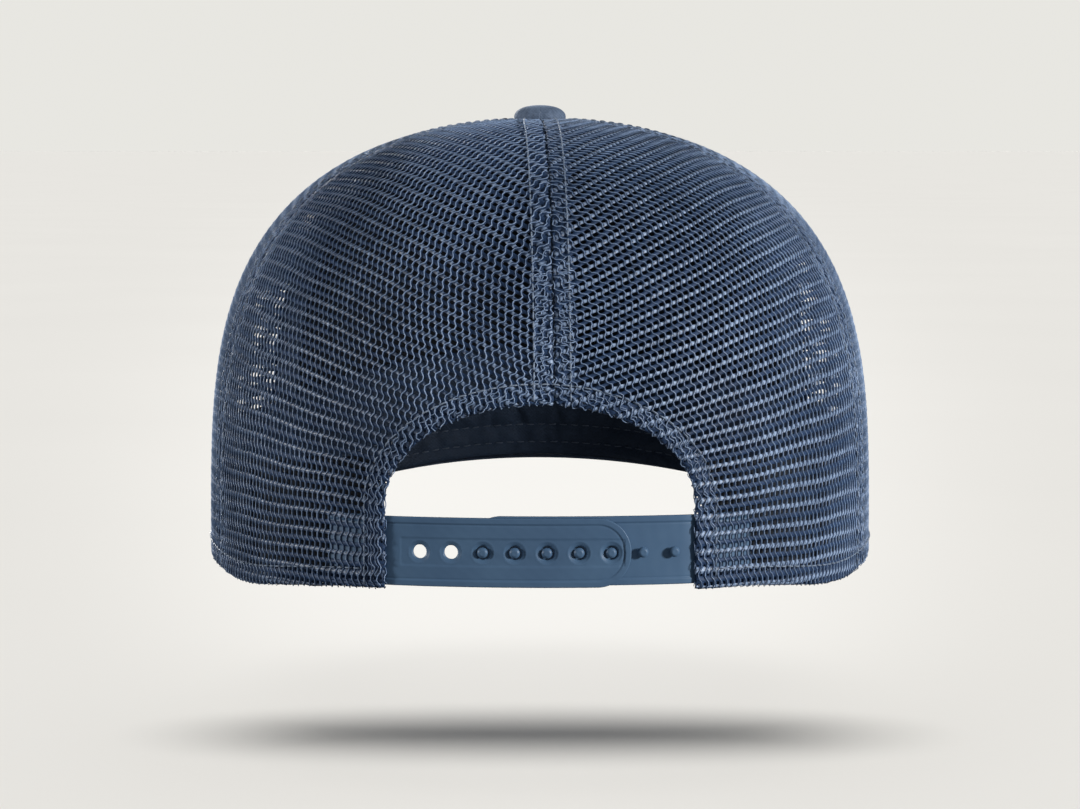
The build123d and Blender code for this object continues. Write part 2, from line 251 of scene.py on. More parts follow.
def close_sheet(outer, inner, faces):
    """Points and faces of a solid between two matching sheets, walled along every free edge."""
    count = len(outer)
    front = [tuple(int(c) for c in face) for face in faces]
    edges = {}
    for face in front:
        for a, b in zip(face, face[1:] + face[:1]):
            if (b, a) in edges:
                del edges[(b, a)]
            else:
                edges[(a, b)] = True
    back = [tuple(c + count for c in reversed(face)) for face in front]
    return np.concatenate([outer, inner]), front + back + [(b, a, a + count, b + count) for a, b in edges]


def add_sheet(name, outer, inner, material, slot, *nodes):
    """Closed sheet between two grids of points."""
    rows, columns = outer.shape[:2]
    points, faces = close_sheet(outer.reshape(-1, 3), inner.reshape(-1, 3), grid_faces(rows, columns))
    return add_piece(name, points, faces, material, slot, *nodes)


def add_layer(name, az, s, front, back, material, slot, node):
    """Closed sheet between two depths below the crown's face."""
    outer, inner = below_face(az, s, front)[0], below_face(az, s, back)[0]
    add_sheet(name, outer, inner, material, slot, node)


def joined(parts):
    """Several (points, faces, ...) as one."""
    faces, start = [], 0
    for part in parts:
        faces.extend([[int(c) + start for c in face] for face in part[1]])
        start += len(part[0])
    points, *rest = [np.concatenate(arrays) for arrays in zip(*[(part[0], *part[2:]) for part in parts])]
    return points, faces, *rest


def tubes(paths, sides=6):
    """Points and faces of capped tubes. A path is (points, normals, radii)."""
    angles = np.linspace(0, TAU, sides, endpoint=False)
    all_points, all_faces, start = [], [], 0
    for points, normals, radii in paths:
        tangents = unit(np.gradient(points, axis=0))
        side = unit(np.cross(tangents, normals))
        lift = np.cross(side, tangents)
        radii = np.broadcast_to(np.asarray(radii, float), (len(points),))
        ring = side[:, None] * np.cos(angles)[None, :, None] + lift[:, None] * np.sin(angles)[None, :, None]
        all_points.append((points[:, None] + ring * radii[:, None, None]).reshape(-1, 3))
        index = start + np.arange(len(points) * sides).reshape(len(points), sides)
        all_faces += ring_faces(index) + [index[0][::-1].tolist(), index[-1].tolist()]
        start += len(points) * sides
    return np.concatenate(all_points), all_faces


def interp(at, known, rows):
    """Rows of vectors interpolated between known places."""
    return np.stack([np.interp(at, known, column) for column in rows.T], axis=-1)


def path_length(points):
    return np.concatenate([[0], np.cumsum(np.linalg.norm(np.diff(points, axis=0), axis=1))])


def stitch_paths(points, normals, stitch=2.6, gap=0.7, radius=0.17, lift=0.1):
    """One short thread per stitch along a path, dipping into the cloth at both ends."""
    length = path_length(points)
    at = np.linspace(0, length[-1], max(2, int(length[-1] / 0.25) + 1))
    fine, fine_normals = interp(at, length, points), unit(interp(at, length, normals))
    share = np.linspace(0, 1, 7)
    end = (2 * np.abs(share - 0.5)) ** 4
    paths, start = [], 0.3
    while start + stitch < at[-1]:
        place = start + share * stitch
        line, up = interp(place, at, fine), unit(interp(place, at, fine_normals))
        arch = lift - end * (lift + radius * 1.4)
        side = unit(np.cross(np.gradient(line, axis=0), up))
        line = line + up * arch[:, None] + side * rng.normal(0, 0.05) * (2 * share - 1)[:, None]
        paths.append((line, up, radius * (1 - 0.25 * end)))
        start += stitch + gap + rng.normal(0, 0.05)
    return paths


# ---------------------------------------------------------------------------------------------
# Materials


def new_material(name):
    material = bpy.data.materials.new(name)
    material.use_nodes = True
    tree = material.node_tree
    tree.nodes.clear()
    output = tree.nodes.new("ShaderNodeOutputMaterial")
    shader = tree.nodes.new("ShaderNodeBsdfPrincipled")
    tree.links.new(shader.outputs[0], output.inputs[0])
    return material, tree, shader


def object_coordinates(tree, scale=1000):
    """Object coordinates times a scale; 1000 gives millimetres."""
    place = tree.nodes.new("ShaderNodeTexCoord")
    mapping = tree.nodes.new("ShaderNodeMapping")
    mapping.inputs["Scale"].default_value = (scale,) * 3
    tree.links.new(place.outputs["Object"], mapping.inputs["Vector"])
    return mapping.outputs[0]


def noise(tree, vector, scale, detail=2.0):
    node = tree.nodes.new("ShaderNodeTexNoise")
    node.inputs["Scale"].default_value = scale
    node.inputs["Detail"].default_value = detail
    tree.links.new(vector, node.inputs["Vector"])
    return node.outputs["Fac"]


def split_axes(tree, vector):
    node = tree.nodes.new("ShaderNodeSeparateXYZ")
    tree.links.new(vector, node.inputs[0])
    return node.outputs


def math_node(tree, operation, *values):
    node = tree.nodes.new("ShaderNodeMath")
    node.operation = operation
    for socket, value in zip(node.inputs, values):
        if isinstance(value, (int, float)):
            socket.default_value = value
        else:
            tree.links.new(value, socket)
    return node.outputs[0]


def weighted(tree, *terms):
    """Sum of products."""
    total, *rest = [math_node(tree, "MULTIPLY", *term) for term in terms]
    for product in rest:
        total = math_node(tree, "ADD", total, product)
    return total


def eased(tree, value, start, end, low, high, interpolation="SMOOTHSTEP"):
    """A value mapped smoothly from one range to another."""
    node = tree.nodes.new("ShaderNodeMapRange")
    node.interpolation_type = interpolation
    for socket, limit in zip(node.inputs[1:5], (start, end, low, high)):
        socket.default_value = limit
    tree.links.new(value, node.inputs[0])
    return node.outputs[0]


def blend_colours(tree, factor, dark, light, start=0.3, end=0.7):
    node = tree.nodes.new("ShaderNodeValToRGB")
    for element, position, colour in zip(node.color_ramp.elements, (start, end), (dark, light)):
        element.position, element.color = position, (*colour, 1)
    tree.links.new(factor, node.inputs[0])
    return node.outputs[0]


def vary_roughness(tree, shader, value, spread, low):
    tree.links.new(math_node(tree, "MULTIPLY_ADD", value, spread, low), shader.inputs["Roughness"])


def bump(tree, shader, height, strength, distance):
    node = tree.nodes.new("ShaderNodeBump")
    node.inputs["Strength"].default_value = strength
    node.inputs["Distance"].default_value = distance
    tree.links.new(height, node.inputs["Height"])
    tree.links.new(node.outputs[0], shader.inputs["Normal"])


def set_sheen(shader, light, weight, roughness=0.4, gain=4, lift=0.2):
    shader.inputs["Sheen Weight"].default_value = weight
    shader.inputs["Sheen Roughness"].default_value = roughness
    shader.inputs["Sheen Tint"].default_value = (*[min(1.0, c * gain + lift) for c in light], 1)


def yarn_material(name, dark, light, roughness=0.4, sheen=0.2, specular=0.5):
    """Filament yarn: fine fibres, broad shade changes and a soft sheen."""
    material, tree, shader = new_material(name)
    place = object_coordinates(tree)
    fine = noise(tree, place, 2.4, 3)
    mix = weighted(tree, (noise(tree, place, 0.05), 0.45), (fine, 0.55))
    tree.links.new(blend_colours(tree, mix, dark, light), shader.inputs["Base Color"])
    vary_roughness(tree, shader, fine, 0.3, roughness - 0.15)
    shader.inputs["Specular IOR Level"].default_value = specular
    set_sheen(shader, light, sheen)
    bump(tree, shader, fine, 0.5, 0.00012)
    return material


def ribbon_material(name, dark, light, roughness, sheen, specular, stops, broken=0.0):
    """Flat bundles of filament along the rows of the knit, in the cloth's own coordinates. With broken, a
    sine along each row breaks the yarn's shade into blocks, one per hole pitch, and painted shade darkens
    the yarn towards +X, the side the key light leaves in shade.
    """
    material, tree, shader = new_material(name)
    cloth = tree.nodes.new("ShaderNodeUVMap")
    cloth.uv_map = "knit"
    mapping = tree.nodes.new("ShaderNodeMapping")
    mapping.inputs["Scale"].default_value = (0.9, 9.0, 1.0)
    tree.links.new(cloth.outputs[0], mapping.inputs["Vector"])
    fibres = noise(tree, mapping.outputs[0], 1.0, 2)
    place = object_coordinates(tree)
    broad, patch = noise(tree, place, 0.035), noise(tree, place, 0.45, 1)
    mix = weighted(tree, (fibres, 0.35), (broad, 0.3), (patch, 0.35))
    if broken:
        along = math_node(tree, "MULTIPLY", split_axes(tree, cloth.outputs[0])[0], TAU / PITCH)
        wave = math_node(tree, "MULTIPLY", math_node(tree, "SINE", along), broken)
        # Painted shade: the yarn darkens from x = -15 mm to x = 40 mm, the cap's side away from the key
        # light.
        painted_side_shade = eased(tree, split_axes(tree, place)[0], -15.0, 40.0, 0.0, -0.14)
        mix = math_node(tree, "ADD", math_node(tree, "ADD", mix, wave), painted_side_shade)
    tree.links.new(blend_colours(tree, mix, dark, light, *stops), shader.inputs["Base Color"])
    vary_roughness(tree, shader, fibres, 0.3, roughness - 0.15)
    shader.inputs["Specular IOR Level"].default_value = specular
    set_sheen(shader, light, sheen)
    bump(tree, shader, fibres, 0.8, 0.0001)
    return material


def woven_material(name, dark, light, thread, sheen=0.3, roughness=0.75):
    """Plain weave on object coordinates, with slubs and broad fading."""
    material, tree, shader = new_material(name)
    place = object_coordinates(tree)
    turns = [math_node(tree, "MULTIPLY", axis, math.pi / thread) for axis in split_axes(tree, place)]
    x, y, z = [math_node(tree, "SINE", turn) for turn in turns]
    weave = weighted(tree, (x, z), (y, z))
    fine = noise(tree, place, 1.3, 4)
    mix = weighted(tree, (weave, 0.04), (noise(tree, place, 0.04), 0.5), (fine, 0.5))
    tree.links.new(blend_colours(tree, mix, dark, light, 0.32), shader.inputs["Base Color"])
    shader.inputs["Roughness"].default_value = roughness
    set_sheen(shader, light, sheen, 0.5, 3, 0.1)
    bump(tree, shader, weighted(tree, (weave, 1.0), (fine, 1.5)), 0.6, 0.00005)
    return material


def plastic_material(name, dark, light, roughness=0.42):
    """Moulded satin plastic with a fine grain and faint handling marks."""
    material, tree, shader = new_material(name)
    place = object_coordinates(tree)
    tree.links.new(blend_colours(tree, noise(tree, place, 0.08), dark, light), shader.inputs["Base Color"])
    vary_roughness(tree, shader, noise(tree, place, 0.5, 4), 0.22, roughness - 0.1)
    shader.inputs["Specular IOR Level"].default_value = 0.32
    bump(tree, shader, noise(tree, place, 9.0, 2), 0.25, 0.00002)
    return material


def metal_material(name, dark, light):
    """Pressed steel, slightly brushed and stained."""
    material, tree, shader = new_material(name)
    place = object_coordinates(tree)
    broad = noise(tree, place, 0.6, 3)
    tree.links.new(blend_colours(tree, broad, dark, light), shader.inputs["Base Color"])
    shader.inputs["Metallic"].default_value = 1.0
    vary_roughness(tree, shader, noise(tree, place, 5.0, 3), 0.3, 0.2)
    bump(tree, shader, broad, 0.1, 0.00003)
    return material


PITCH = 1.85  # of the knit, between holes in a row
ROW = 2.35  # between rows of holes
NET_SHADES = (0.007, 0.019, 0.048), (0.028, 0.062, 0.142)
# The laps' light shade is partly the yarn's own tone and partly painted highlight, standing in for the glint
# of the flat floats under the key light.
LAP_SHADES = (0.016, 0.037, 0.086), (0.29, 0.39, 0.56)
LAP_STOPS = 0.46, 0.68
NET = ribbon_material("net_yarn", *NET_SHADES, 0.5, sheen=0.08, specular=0.25, stops=(0.36, 0.64))
LAP = ribbon_material("lap_yarn", *LAP_SHADES, 0.36, sheen=0.1, specular=0.6, stops=LAP_STOPS, broken=0.17)
WALE = yarn_material("wale_yarn", (0.060, 0.110, 0.212), (0.33, 0.45, 0.66), 0.34, 0.1, 0.6)
THREAD = yarn_material("sewing_thread", (0.085, 0.125, 0.19), (0.30, 0.37, 0.48))
DARK_THREAD = yarn_material("band_thread", (0.040, 0.060, 0.095), (0.10, 0.13, 0.19), 0.5, 0.1)
FRONT = woven_material("front_weave", (0.040, 0.065, 0.112), (0.085, 0.125, 0.20), 0.4, 0.2)
# The button is covered in the front's cloth; its lighter shade is painted light, standing in for light
# falling on the top of the crown.
BUTTON = woven_material("button_weave", (0.062, 0.094, 0.152), (0.125, 0.172, 0.255), 0.4, 0.25)
TAPE = woven_material("tape_weave", (0.03, 0.05, 0.085), (0.055, 0.085, 0.14), 0.6)
BAND = woven_material("band_twill", (0.008, 0.020, 0.044), (0.017, 0.038, 0.078), 0.5, 0.05)
# The foam is near black: partly its own dark colour, partly painted shade for the inside of the crown that
# shows through the holes.
FOAM = woven_material("foam_back", (0.004, 0.006, 0.010), (0.009, 0.013, 0.020), 1.2, 0.0, 0.95)
PLASTIC = plastic_material("strap_plastic", (0.065, 0.126, 0.218), (0.077, 0.147, 0.245))
BOARD = plastic_material("board_plastic", (0.5, 0.5, 0.48), (0.62, 0.62, 0.6), 0.6)
METAL = metal_material("button_metal", (0.3, 0.3, 0.31), (0.5, 0.5, 0.51))

# ---------------------------------------------------------------------------------------------
# Knitted mesh. The knit is a lattice of holes in flat cloth, u along the rows and v up, laid on
# the crown as cloth lies on a cone. Past an edge the cloth folds inward and makes the hem.

NET_DEPTH = 0.36  # of the cloth's middle below the crown's face
EDGE_STITCH = 4.9  # from an edge to the stitches that hold it
SAG_REACH = math.radians(85)
FOLD_TURN = math.radians(40)  # between the grain of a panel and of the cloth folded behind its edges
FOLD = {"seam": 0.22, "rim": 0.42, "opening": 0.42}  # bend radius of each folded edge
FOLDED_IN = {"seam": 4.2, "rim": HEM - 0.6, "opening": HEM - 0.6}  # width of the cloth past the fold
CROWDING = {"seam": 0.65, "rim": 0.45, "opening": 0.85}  # of the yarns where the cloth is doubled
SEAM_EDGE = FOLD["seam"] + 0.12
EDGE_KIND = {"start": "seam", "end": "seam", "rim": "rim", "opening": "opening"}
REGIONS = ("panel", "rim", "opening")
SAG_FROM, SAG_TO = (29, 23), (100, 22)  # lengths up the crown where the sag comes and goes, and their widths
WALL_CREST, LAP_CREST, ROW_CREST = 0.07, 0.15, 0.08  # heights of the yarn over the cloth's middle
HOLE_CREST, HOLE_BACK, YARN_BACK = -0.03, -0.15, -0.22
WALE_CRESTS = (0.16, 0.16, 0.22)  # heights of a zigzag thread's three points in each row
WALE_RADIUS = 0.13
TALLEST = 190  # length of cloth that reaches the button from any rim
RING = np.array([(-1, -1), (0, -1), (1, -1), (1, 0), (1, 1), (0, 1), (-1, 1), (-1, 0)])
HOLE_ACROSS = 0.66 * np.array([-0.88, 0, 0.88, 1.0, 0.88, 0, -0.88, -1.0])
HOLE_UP = 0.63 * np.array([-0.86, -1, -0.86, 0, 0.86, 1.0, 0.86, 0])


def develop(u, v, grain):
    """Azimuth and length up the crown of flat cloth whose straight grain follows one meridian."""
    s_table = np.linspace(-20, top_length(grain), 600)
    radius = radius_height(np.full(600, grain), s_table)[0]
    slope = np.maximum(np.abs(np.gradient(radius, s_table)), 1e-3)
    s = v.copy()
    for _ in range(60):
        r, k = np.interp(s, s_table, radius), np.interp(s, s_table, slope)
        share = u * k / r
        turn = np.arcsin(np.clip(share, -0.985, 0.985)) / k
        s = 0.5 * s + 0.5 * (v - r / k * (1 - np.cos(k * turn)))
    return grain + turn, s, (np.abs(share) > 0.985) | (s > s_table[-1])


def opening_edge(x, z):
    """How far a place is inside the closure opening, the nearest edge and its outward direction."""
    rise = OPENING_TOP - OPENING_SIDE
    side = np.where(x >= 0, 1.0, -1.0)
    angle = np.arctan2(np.maximum(z - OPENING_SIDE, 0) / rise, x / OPENING_HALF)
    low = z < OPENING_SIDE
    edge_x = np.where(low, side * OPENING_HALF, OPENING_HALF * np.cos(angle))
    edge_z = np.where(low, z, OPENING_SIDE + rise * np.sin(angle))
    out_x = np.where(low, side, np.cos(angle) / OPENING_HALF)
    out_z = np.where(low, 0.0, np.sin(angle) / rise)
    size = np.hypot(out_x, out_z)
    out_x, out_z = out_x / size, out_z / size
    return (edge_x - x) * out_x + (edge_z - z) * out_z, edge_x, edge_z, out_x, out_z


def azimuth_of(x, z, start):
    """Azimuth at which the crown passes a sideways place at a height, near the back."""
    az = start.copy()
    for _ in range(8):
        az = np.arcsin(np.clip(x / radius_height(az, length_at(az, z))[0], -0.99, 0.99))
    return az


def by_edge(edge, values):
    return np.select([edge == kind for kind in values], list(values.values()))


class Panel:
    """One mesh panel: its edges, its straight grain and its own place in the lattice."""

    def __init__(self, name, start, end, grain, has_opening, shift, sag=0.0):
        self.name, self.start, self.end, self.grain = name, start, end, grain
        self.has_opening, self.shift, self.sag = has_opening, shift, sag
        self.bend = rng.uniform(0, TAU, 6)

    def doubled(self):
        """The cloth that is folded behind this panel's edges."""
        grain = self.grain + FOLD_TURN * (1 if self.start + self.end > 0 else -1)
        return Panel(self.name, self.start, self.end, grain, self.has_opening, self.shift, self.sag)

    def flat(self, x, y):
        """Flat cloth position of a lattice point, with the slow drift of a real knit."""
        u = x * PITCH / 2 + self.shift[0]
        v = y * ROW / 2 + self.shift[1]
        b = self.bend
        drift = 0.35 * np.sin(u / 17 + b[0]) * np.sin(v / 23 + b[1]) + 0.16 * np.sin(u / 5.3 + b[2] + v / 9)
        sway = 0.30 * np.sin(v / 19 + b[3]) * np.sin(u / 29 + b[4]) + 0.12 * np.sin(v / 4.1 + b[5] + u / 13)
        return u + sway, v + drift

    def settle(self, az, s):
        """Rows of the back panels sag towards the back seam above the closure opening."""
        if not self.has_opening:
            return s
        near = np.clip(1 - np.abs(az - BACK_SEAM) / SAG_REACH, 0, 1) ** 1.3
        (low, low_width), (high, high_width) = SAG_FROM, SAG_TO
        sag = self.sag * (near - 0.5) * soft(s - low, low_width) * (1 - 0.85 * soft(s - high, high_width))
        return s - sag * np.clip(radius_height(az, s)[0] / HALF_LENGTH, 0, 1)

    def distances(self, az, s):
        """Millimetres past each edge, positive outside the panel."""
        radius, height = radius_height(az, s)
        past = {
            "start": (self.start - az) * radius + SEAM_EDGE,
            "end": (az - self.end) * radius + SEAM_EDGE,
            "rim": rim_length(az) - s + FOLD["rim"],
        }
        if self.has_opening:
            past["opening"] = opening_edge(radius * np.sin(az), height)[0] + FOLD["opening"]
        return past

    def fold_back(self, edge, az, s, inner):
        """Where cloth past an edge comes to lie, inner millimetres behind it, and the way out."""
        if edge == "rim":
            s = rim_length(az) + FOLD["rim"] + inner
            return az, s, -crown_frame(az, s)[3]
        radius, height = radius_height(az, s)
        if edge != "opening":
            limit, sign = (self.start, -1) if edge == "start" else (self.end, 1)
            az = limit - sign * (SEAM_EDGE + inner) / np.maximum(radius, 2.0)
            return az, s, sign * crown_frame(az, s)[2]
        _, edge_x, edge_z, out_x, out_z = opening_edge(radius * np.sin(az), height)
        x = edge_x + out_x * (FOLD["opening"] + inner)
        z = np.maximum(edge_z + out_z * (FOLD["opening"] + inner), -0.2)
        az = azimuth_of(x, z, az)
        s = length_at(az, z)
        flat = np.stack([-out_x, np.zeros_like(x), -out_z], axis=-1)
        normal = crown_frame(az, s)[1]
        return az, s, unit(flat - normal * np.sum(flat * normal, axis=-1, keepdims=True))

    def place(self, u, v, height):
        """Points on the crown for flat cloth places, folded in along every edge."""
        az, s, off = develop(u, v, self.grain)
        s = self.settle(az, s)
        past = self.distances(az, s)
        stack = np.stack(list(past.values()))
        worst = np.array(list(past))[np.argmax(stack, axis=0)]
        beyond = np.maximum(stack.max(axis=0), 0)
        angle, fold, out = np.zeros(len(az)), np.ones(len(az)), np.zeros((len(az), 3))
        for name in past:
            here = (worst == name) & (beyond > 0)
            if here.any():
                bend = FOLD[EDGE_KIND[name]]
                inner = np.maximum(beyond[here] - math.pi * bend, 0)
                az[here], s[here], out[here] = self.fold_back(name, az[here], s[here], inner)
                angle[here], fold[here] = np.minimum(beyond[here] / bend, math.pi), bend
        point, normal, _, _ = crown_frame(az, s)
        cos, sin, fold = np.cos(angle)[:, None], np.sin(angle)[:, None], fold[:, None]
        point = point - normal * NET_DEPTH + out * fold * sin - normal * fold * (1 - cos)
        facing = normal * cos + out * sin
        kind = np.array([EDGE_KIND[name] for name in past])[np.argmax(stack, axis=0)]
        info = {"edge": kind, "beyond": beyond, "second": np.sort(stack, axis=0)[-2], "off": off}
        info["inside"] = -stack.max(axis=0)
        return point + facing * np.asarray(height)[..., None], facing, info

    def limits(self):
        """Lattice range that covers the panel."""
        width = max(abs(self.start - self.grain), abs(self.end - self.grain)) * HALF_LENGTH + 12
        return int(2 * width / PITCH) + 4, int(2 * TALLEST / ROW)

    def crowding(self, info):
        """How far the yarns are pressed together: 0 in open mesh, 1 in a folded-in edge."""
        hem = by_edge(info["edge"], CROWDING)
        doubled = hem * soft(EDGE_STITCH - info["inside"], 0.7)
        return np.where(info["beyond"] > 0, np.minimum(hem + 0.25, 1.0), doubled)

    def region(self, info):
        """Which piece a place belongs to: panel, rim, opening or none."""
        edge, beyond = info["edge"], info["beyond"]
        room = by_edge(edge, FOLDED_IN) + math.pi * by_edge(edge, FOLD)
        corner = np.where(beyond > 1.0, -1.0, 0.2)
        keep = ~info["off"] & (beyond <= room) & (info["second"] < corner)
        return np.where(keep, np.where((beyond <= 0) | (edge == "seam"), "panel", edge), "none")


def net_parts(panel):
    """Sheet of holes for each region of a panel: region -> (points, faces, face materials, cloth)."""
    wide, tall = panel.limits()
    cells = [(x, 2 * row) for row in range(-6, tall // 2) for x in range(-wide, wide) if (x - row) % 2 == 0]
    cells = np.array(cells)
    _, _, info = panel.place(*panel.flat(*cells.T), np.zeros(len(cells)))
    regions, crowd = panel.region(info), panel.crowding(info)
    parts = {}
    for region in REGIONS:
        mine, pressed = cells[regions == region], crowd[regions == region]
        if len(mine) == 0:
            continue
        keys, index = np.unique((mine[:, None] + RING).reshape(-1, 2), axis=0, return_inverse=True)
        index = index.reshape(-1, 8)
        u, v = panel.flat(*keys.T.astype(float))
        tight = np.zeros(len(keys))
        tight[index.ravel()] = np.repeat(pressed, 8)
        u = u + rng.normal(0, 0.035, len(u)) * (1 + 2.5 * tight)
        v = v + rng.normal(0, 0.035, len(v)) * (1 + 2.5 * tight)
        on_wall, on_lap = keys[:, 1] % 2 == 0, (keys[:, 1] + 1) % 4 == 0
        crest = np.where(on_wall, WALL_CREST, np.where(on_lap, LAP_CREST, ROW_CREST))
        crest = crest + rng.normal(0, 0.02, len(u)) * (1 + 2 * tight)
        hole_u, hole_v = panel.flat(*mine.T.astype(float))
        size = (1 + rng.normal(0, 0.07, (len(mine), 1))) * (1 - 0.6 * pressed[:, None])
        across, upward = HOLE_ACROSS * size, HOLE_UP * size
        hole_u = hole_u[:, None] + across + rng.normal(0, 0.03, across.shape)
        hole_v = hole_v[:, None] + upward + rng.normal(0, 0.03, upward.shape)
        all_u, all_v = np.concatenate([u, hole_u.ravel()]), np.concatenate([v, hole_v.ravel()])
        top = np.concatenate([crest, np.full(hole_u.size, HOLE_CREST)])
        bottom = np.concatenate([np.full(len(u), YARN_BACK), np.full(hole_u.size, HOLE_BACK)])
        outer, _, where = panel.place(all_u, all_v, top)
        inner = panel.place(all_u, all_v, bottom)[0]
        holes = len(u) + np.arange(len(mine) * 8).reshape(-1, 8)
        faces = np.stack([index, holes, np.roll(holes, -1, axis=1), np.roll(index, -1, axis=1)], axis=-1)
        faces = faces.reshape(-1, 4)
        row, corner = mine[:, 1:], np.arange(8)
        lap = ((corner < 2) & (row % 4 == 0)) | (np.isin(corner, (4, 5)) & (row % 4 == 2))
        good = ~where["off"][faces].any(axis=1)
        points, all_faces = close_sheet(outer, inner, faces[good])
        lap = lap.reshape(-1)[good].astype(int)
        walls = np.zeros(len(all_faces) - 2 * len(lap), int)
        cloth_u = np.concatenate([keys[:, 0] * PITCH / 2, (mine[:, :1] * PITCH / 2 + across).ravel()])
        cloth_v = np.concatenate([keys[:, 1] * ROW / 2, (row * ROW / 2 + upward).ravel()])
        cloth = np.tile(np.stack([cloth_u, cloth_v], axis=1), (2, 1))
        parts[region] = (points, all_faces, np.concatenate([lap, lap, walls]), cloth)
    return parts


def wale_parts(panel, sides=5, strips=False):
    """Raised zigzag threads between the holes for each region, or only where the cloth is doubled."""
    wide, tall = panel.limits()
    rows = np.arange(-6, tall // 2)
    odd = rows % 2
    y = np.stack([2 * rows - 0.45, 2 * rows + 0.45, 2 * rows + 1.0], axis=1).ravel()
    paths = {region: [] for region in REGIONS}
    for wale in range(-wide // 2 - 1, wide // 2 + 1):
        x0 = 2 * wale + 1 + odd
        x = np.stack([x0, x0, x0 + np.where(odd == 0, 0.5, -0.5)], axis=1).ravel().astype(float)
        u, v = panel.flat(x, y)
        _, _, info = panel.place(u, v, np.zeros(len(u)))
        crowd = panel.crowding(info)
        loose = np.where(info["edge"] == "rim", 1.0, 2.5) * crowd
        u = u + rng.normal(0, 0.04, len(u)) * (1 + loose)
        v = v + rng.normal(0, 0.04, len(v)) * (1 + loose)
        height = np.tile(WALE_CRESTS, len(rows)) + rng.normal(0, 0.015, len(u)) * (1 + 1.5 * loose)
        point, normal, info = panel.place(u, v, height + 0.06 * crowd)
        regions = panel.region(info)
        if strips:
            doubled = (info["inside"] > 0.9) & (info["inside"] < EDGE_STITCH) & (info["edge"] != "rim")
            regions = np.where(doubled & (regions == "panel"), "panel", "none")
        thickness = WALE_RADIUS * (1 + rng.normal(0, 0.12))
        breaks = np.flatnonzero(regions[1:] != regions[:-1]) + 1
        for start, stop in zip([0, *breaks], [*breaks, len(u)]):
            if regions[start] != "none" and stop - start >= 2:
                end = stop + 1 if stop < len(u) and regions[stop] != "none" else stop
                paths[regions[start]].append((point[start:end], normal[start:end], thickness))
    return {region: tubes(found, sides) for region, found in paths.items() if found}


def add_net(name, net, wales, *nodes):
    points, faces, laps, cloth = net
    add_piece(name + "_net", points, faces, (NET, LAP), "mesh_knit", *nodes, face_material=laps, uv=cloth)
    add_piece(name + "_wales", *wales, WALE, "mesh_knit")


def mesh_crown():
    """All four knitted panels with their hems."""
    panels = [
        Panel("left_back_mesh", BACK_SEAM, SIDE_SEAM, math.radians(54), True, (0.3, 0.2), 27.0),
        Panel("right_back_mesh", -SIDE_SEAM, BACK_SEAM, math.radians(-64), True, (-0.5, 0.9), 20.0),
        Panel("left_side_mesh", SIDE_SEAM, FRONT_SEAM, math.radians(97), False, (0.1, 0.6)),
        Panel("right_side_mesh", -FRONT_SEAM, -SIDE_SEAM, math.radians(-97), False, (0.7, 0.1)),
    ]
    hems = {"left_rim_hem": ([], []), "right_rim_hem": ([], []), "opening_hem": ([], [])}
    for panel in panels:
        nets, wales = net_parts(panel), wale_parts(panel)
        strips = wale_parts(panel.doubled(), 4, True)["panel"]
        add_net(panel.name, nets["panel"], joined([wales["panel"], strips]), panel.name)
        side = panel.name.split("_")[0]
        for region, hem in (("rim", side + "_rim_hem"), ("opening", "opening_hem")):
            if region in nets:
                hems[hem][0].append(nets[region])
                hems[hem][1].append(wales[region])
    for hem, (nets, wales) in hems.items():
        add_net(hem, joined(nets), joined(wales), hem)


# ---------------------------------------------------------------------------------------------
# Seam tapes, front panel and foam

TAPE_HALF = 5.0
TAPE_THICK = 0.35
TAPE_DEPTH = 1.45  # below the crown's face
TAPE_TOP = 12.0  # radius about the axis at which a tape ends
CLOTH_THICK = 0.5
FOAM_INSET = 5.6  # from the front panel's seams
FOAM_TOP = 11.0
FOAM_FACES = (1.05, 2.45)  # depths below the crown's face


def seam_tapes():
    """Woven tapes behind the five seams, gently waved between the stitches."""
    seams = {
        "back_seam_tape": BACK_SEAM,
        "left_back_seam_tape": SIDE_SEAM,
        "right_back_seam_tape": -SIDE_SEAM,
        "left_front_seam_tape": FRONT_SEAM,
        "right_front_seam_tape": -FRONT_SEAM,
    }
    for number, (name, seam) in enumerate(seams.items()):
        low = rim_length(seam) + HEM + 0.4
        if name == "back_seam_tape":
            low = length_at(seam, OPENING_TOP + HEM + 0.4)
        length = np.linspace(low, top_length(seam, TAPE_TOP), 150)
        s, across = np.meshgrid(length, np.linspace(-TAPE_HALF, TAPE_HALF, 13), indexing="ij")
        radius = radius_height(np.full(s.shape, seam), s)[0]
        edge = across + 0.15 * np.sin(s / 3.1 + number) * np.abs(across) / TAPE_HALF
        wave = 0.10 * np.sin(s / 1.9 + 2 * number) * np.cos(across / 1.7) + 0.06 * np.sin(s * 2.4 + across)
        selvedge = 0.12 * np.exp(-((TAPE_HALF - np.abs(across)) / 0.5) ** 2)
        depth = TAPE_DEPTH + wave - selvedge
        back = depth + TAPE_THICK + 2 * selvedge
        add_layer(name + "_weave", seam + edge / radius, s, depth, back, TAPE, "tape_fabric", name)


def front_grid(top_radius, inset, rows, columns):
    """Azimuth and length of a grid over the front, and millimetres from its nearest seam."""
    az = FRONT_SEAM + (TAU - 2 * FRONT_SEAM) * np.linspace(0, 1, columns)
    low = rim_length(az)[None]
    s = low + (top_length(az, top_radius)[None] - low) * np.linspace(0, 1, rows)[:, None]
    az = np.broadcast_to(az, s.shape)
    radius = np.maximum(radius_height(az, s)[0], 1.0)
    az = math.pi + (az - math.pi) * (1 - inset / radius / (math.pi - FRONT_SEAM))
    return az, s, (math.pi - FRONT_SEAM - np.abs(az - math.pi)) * radius


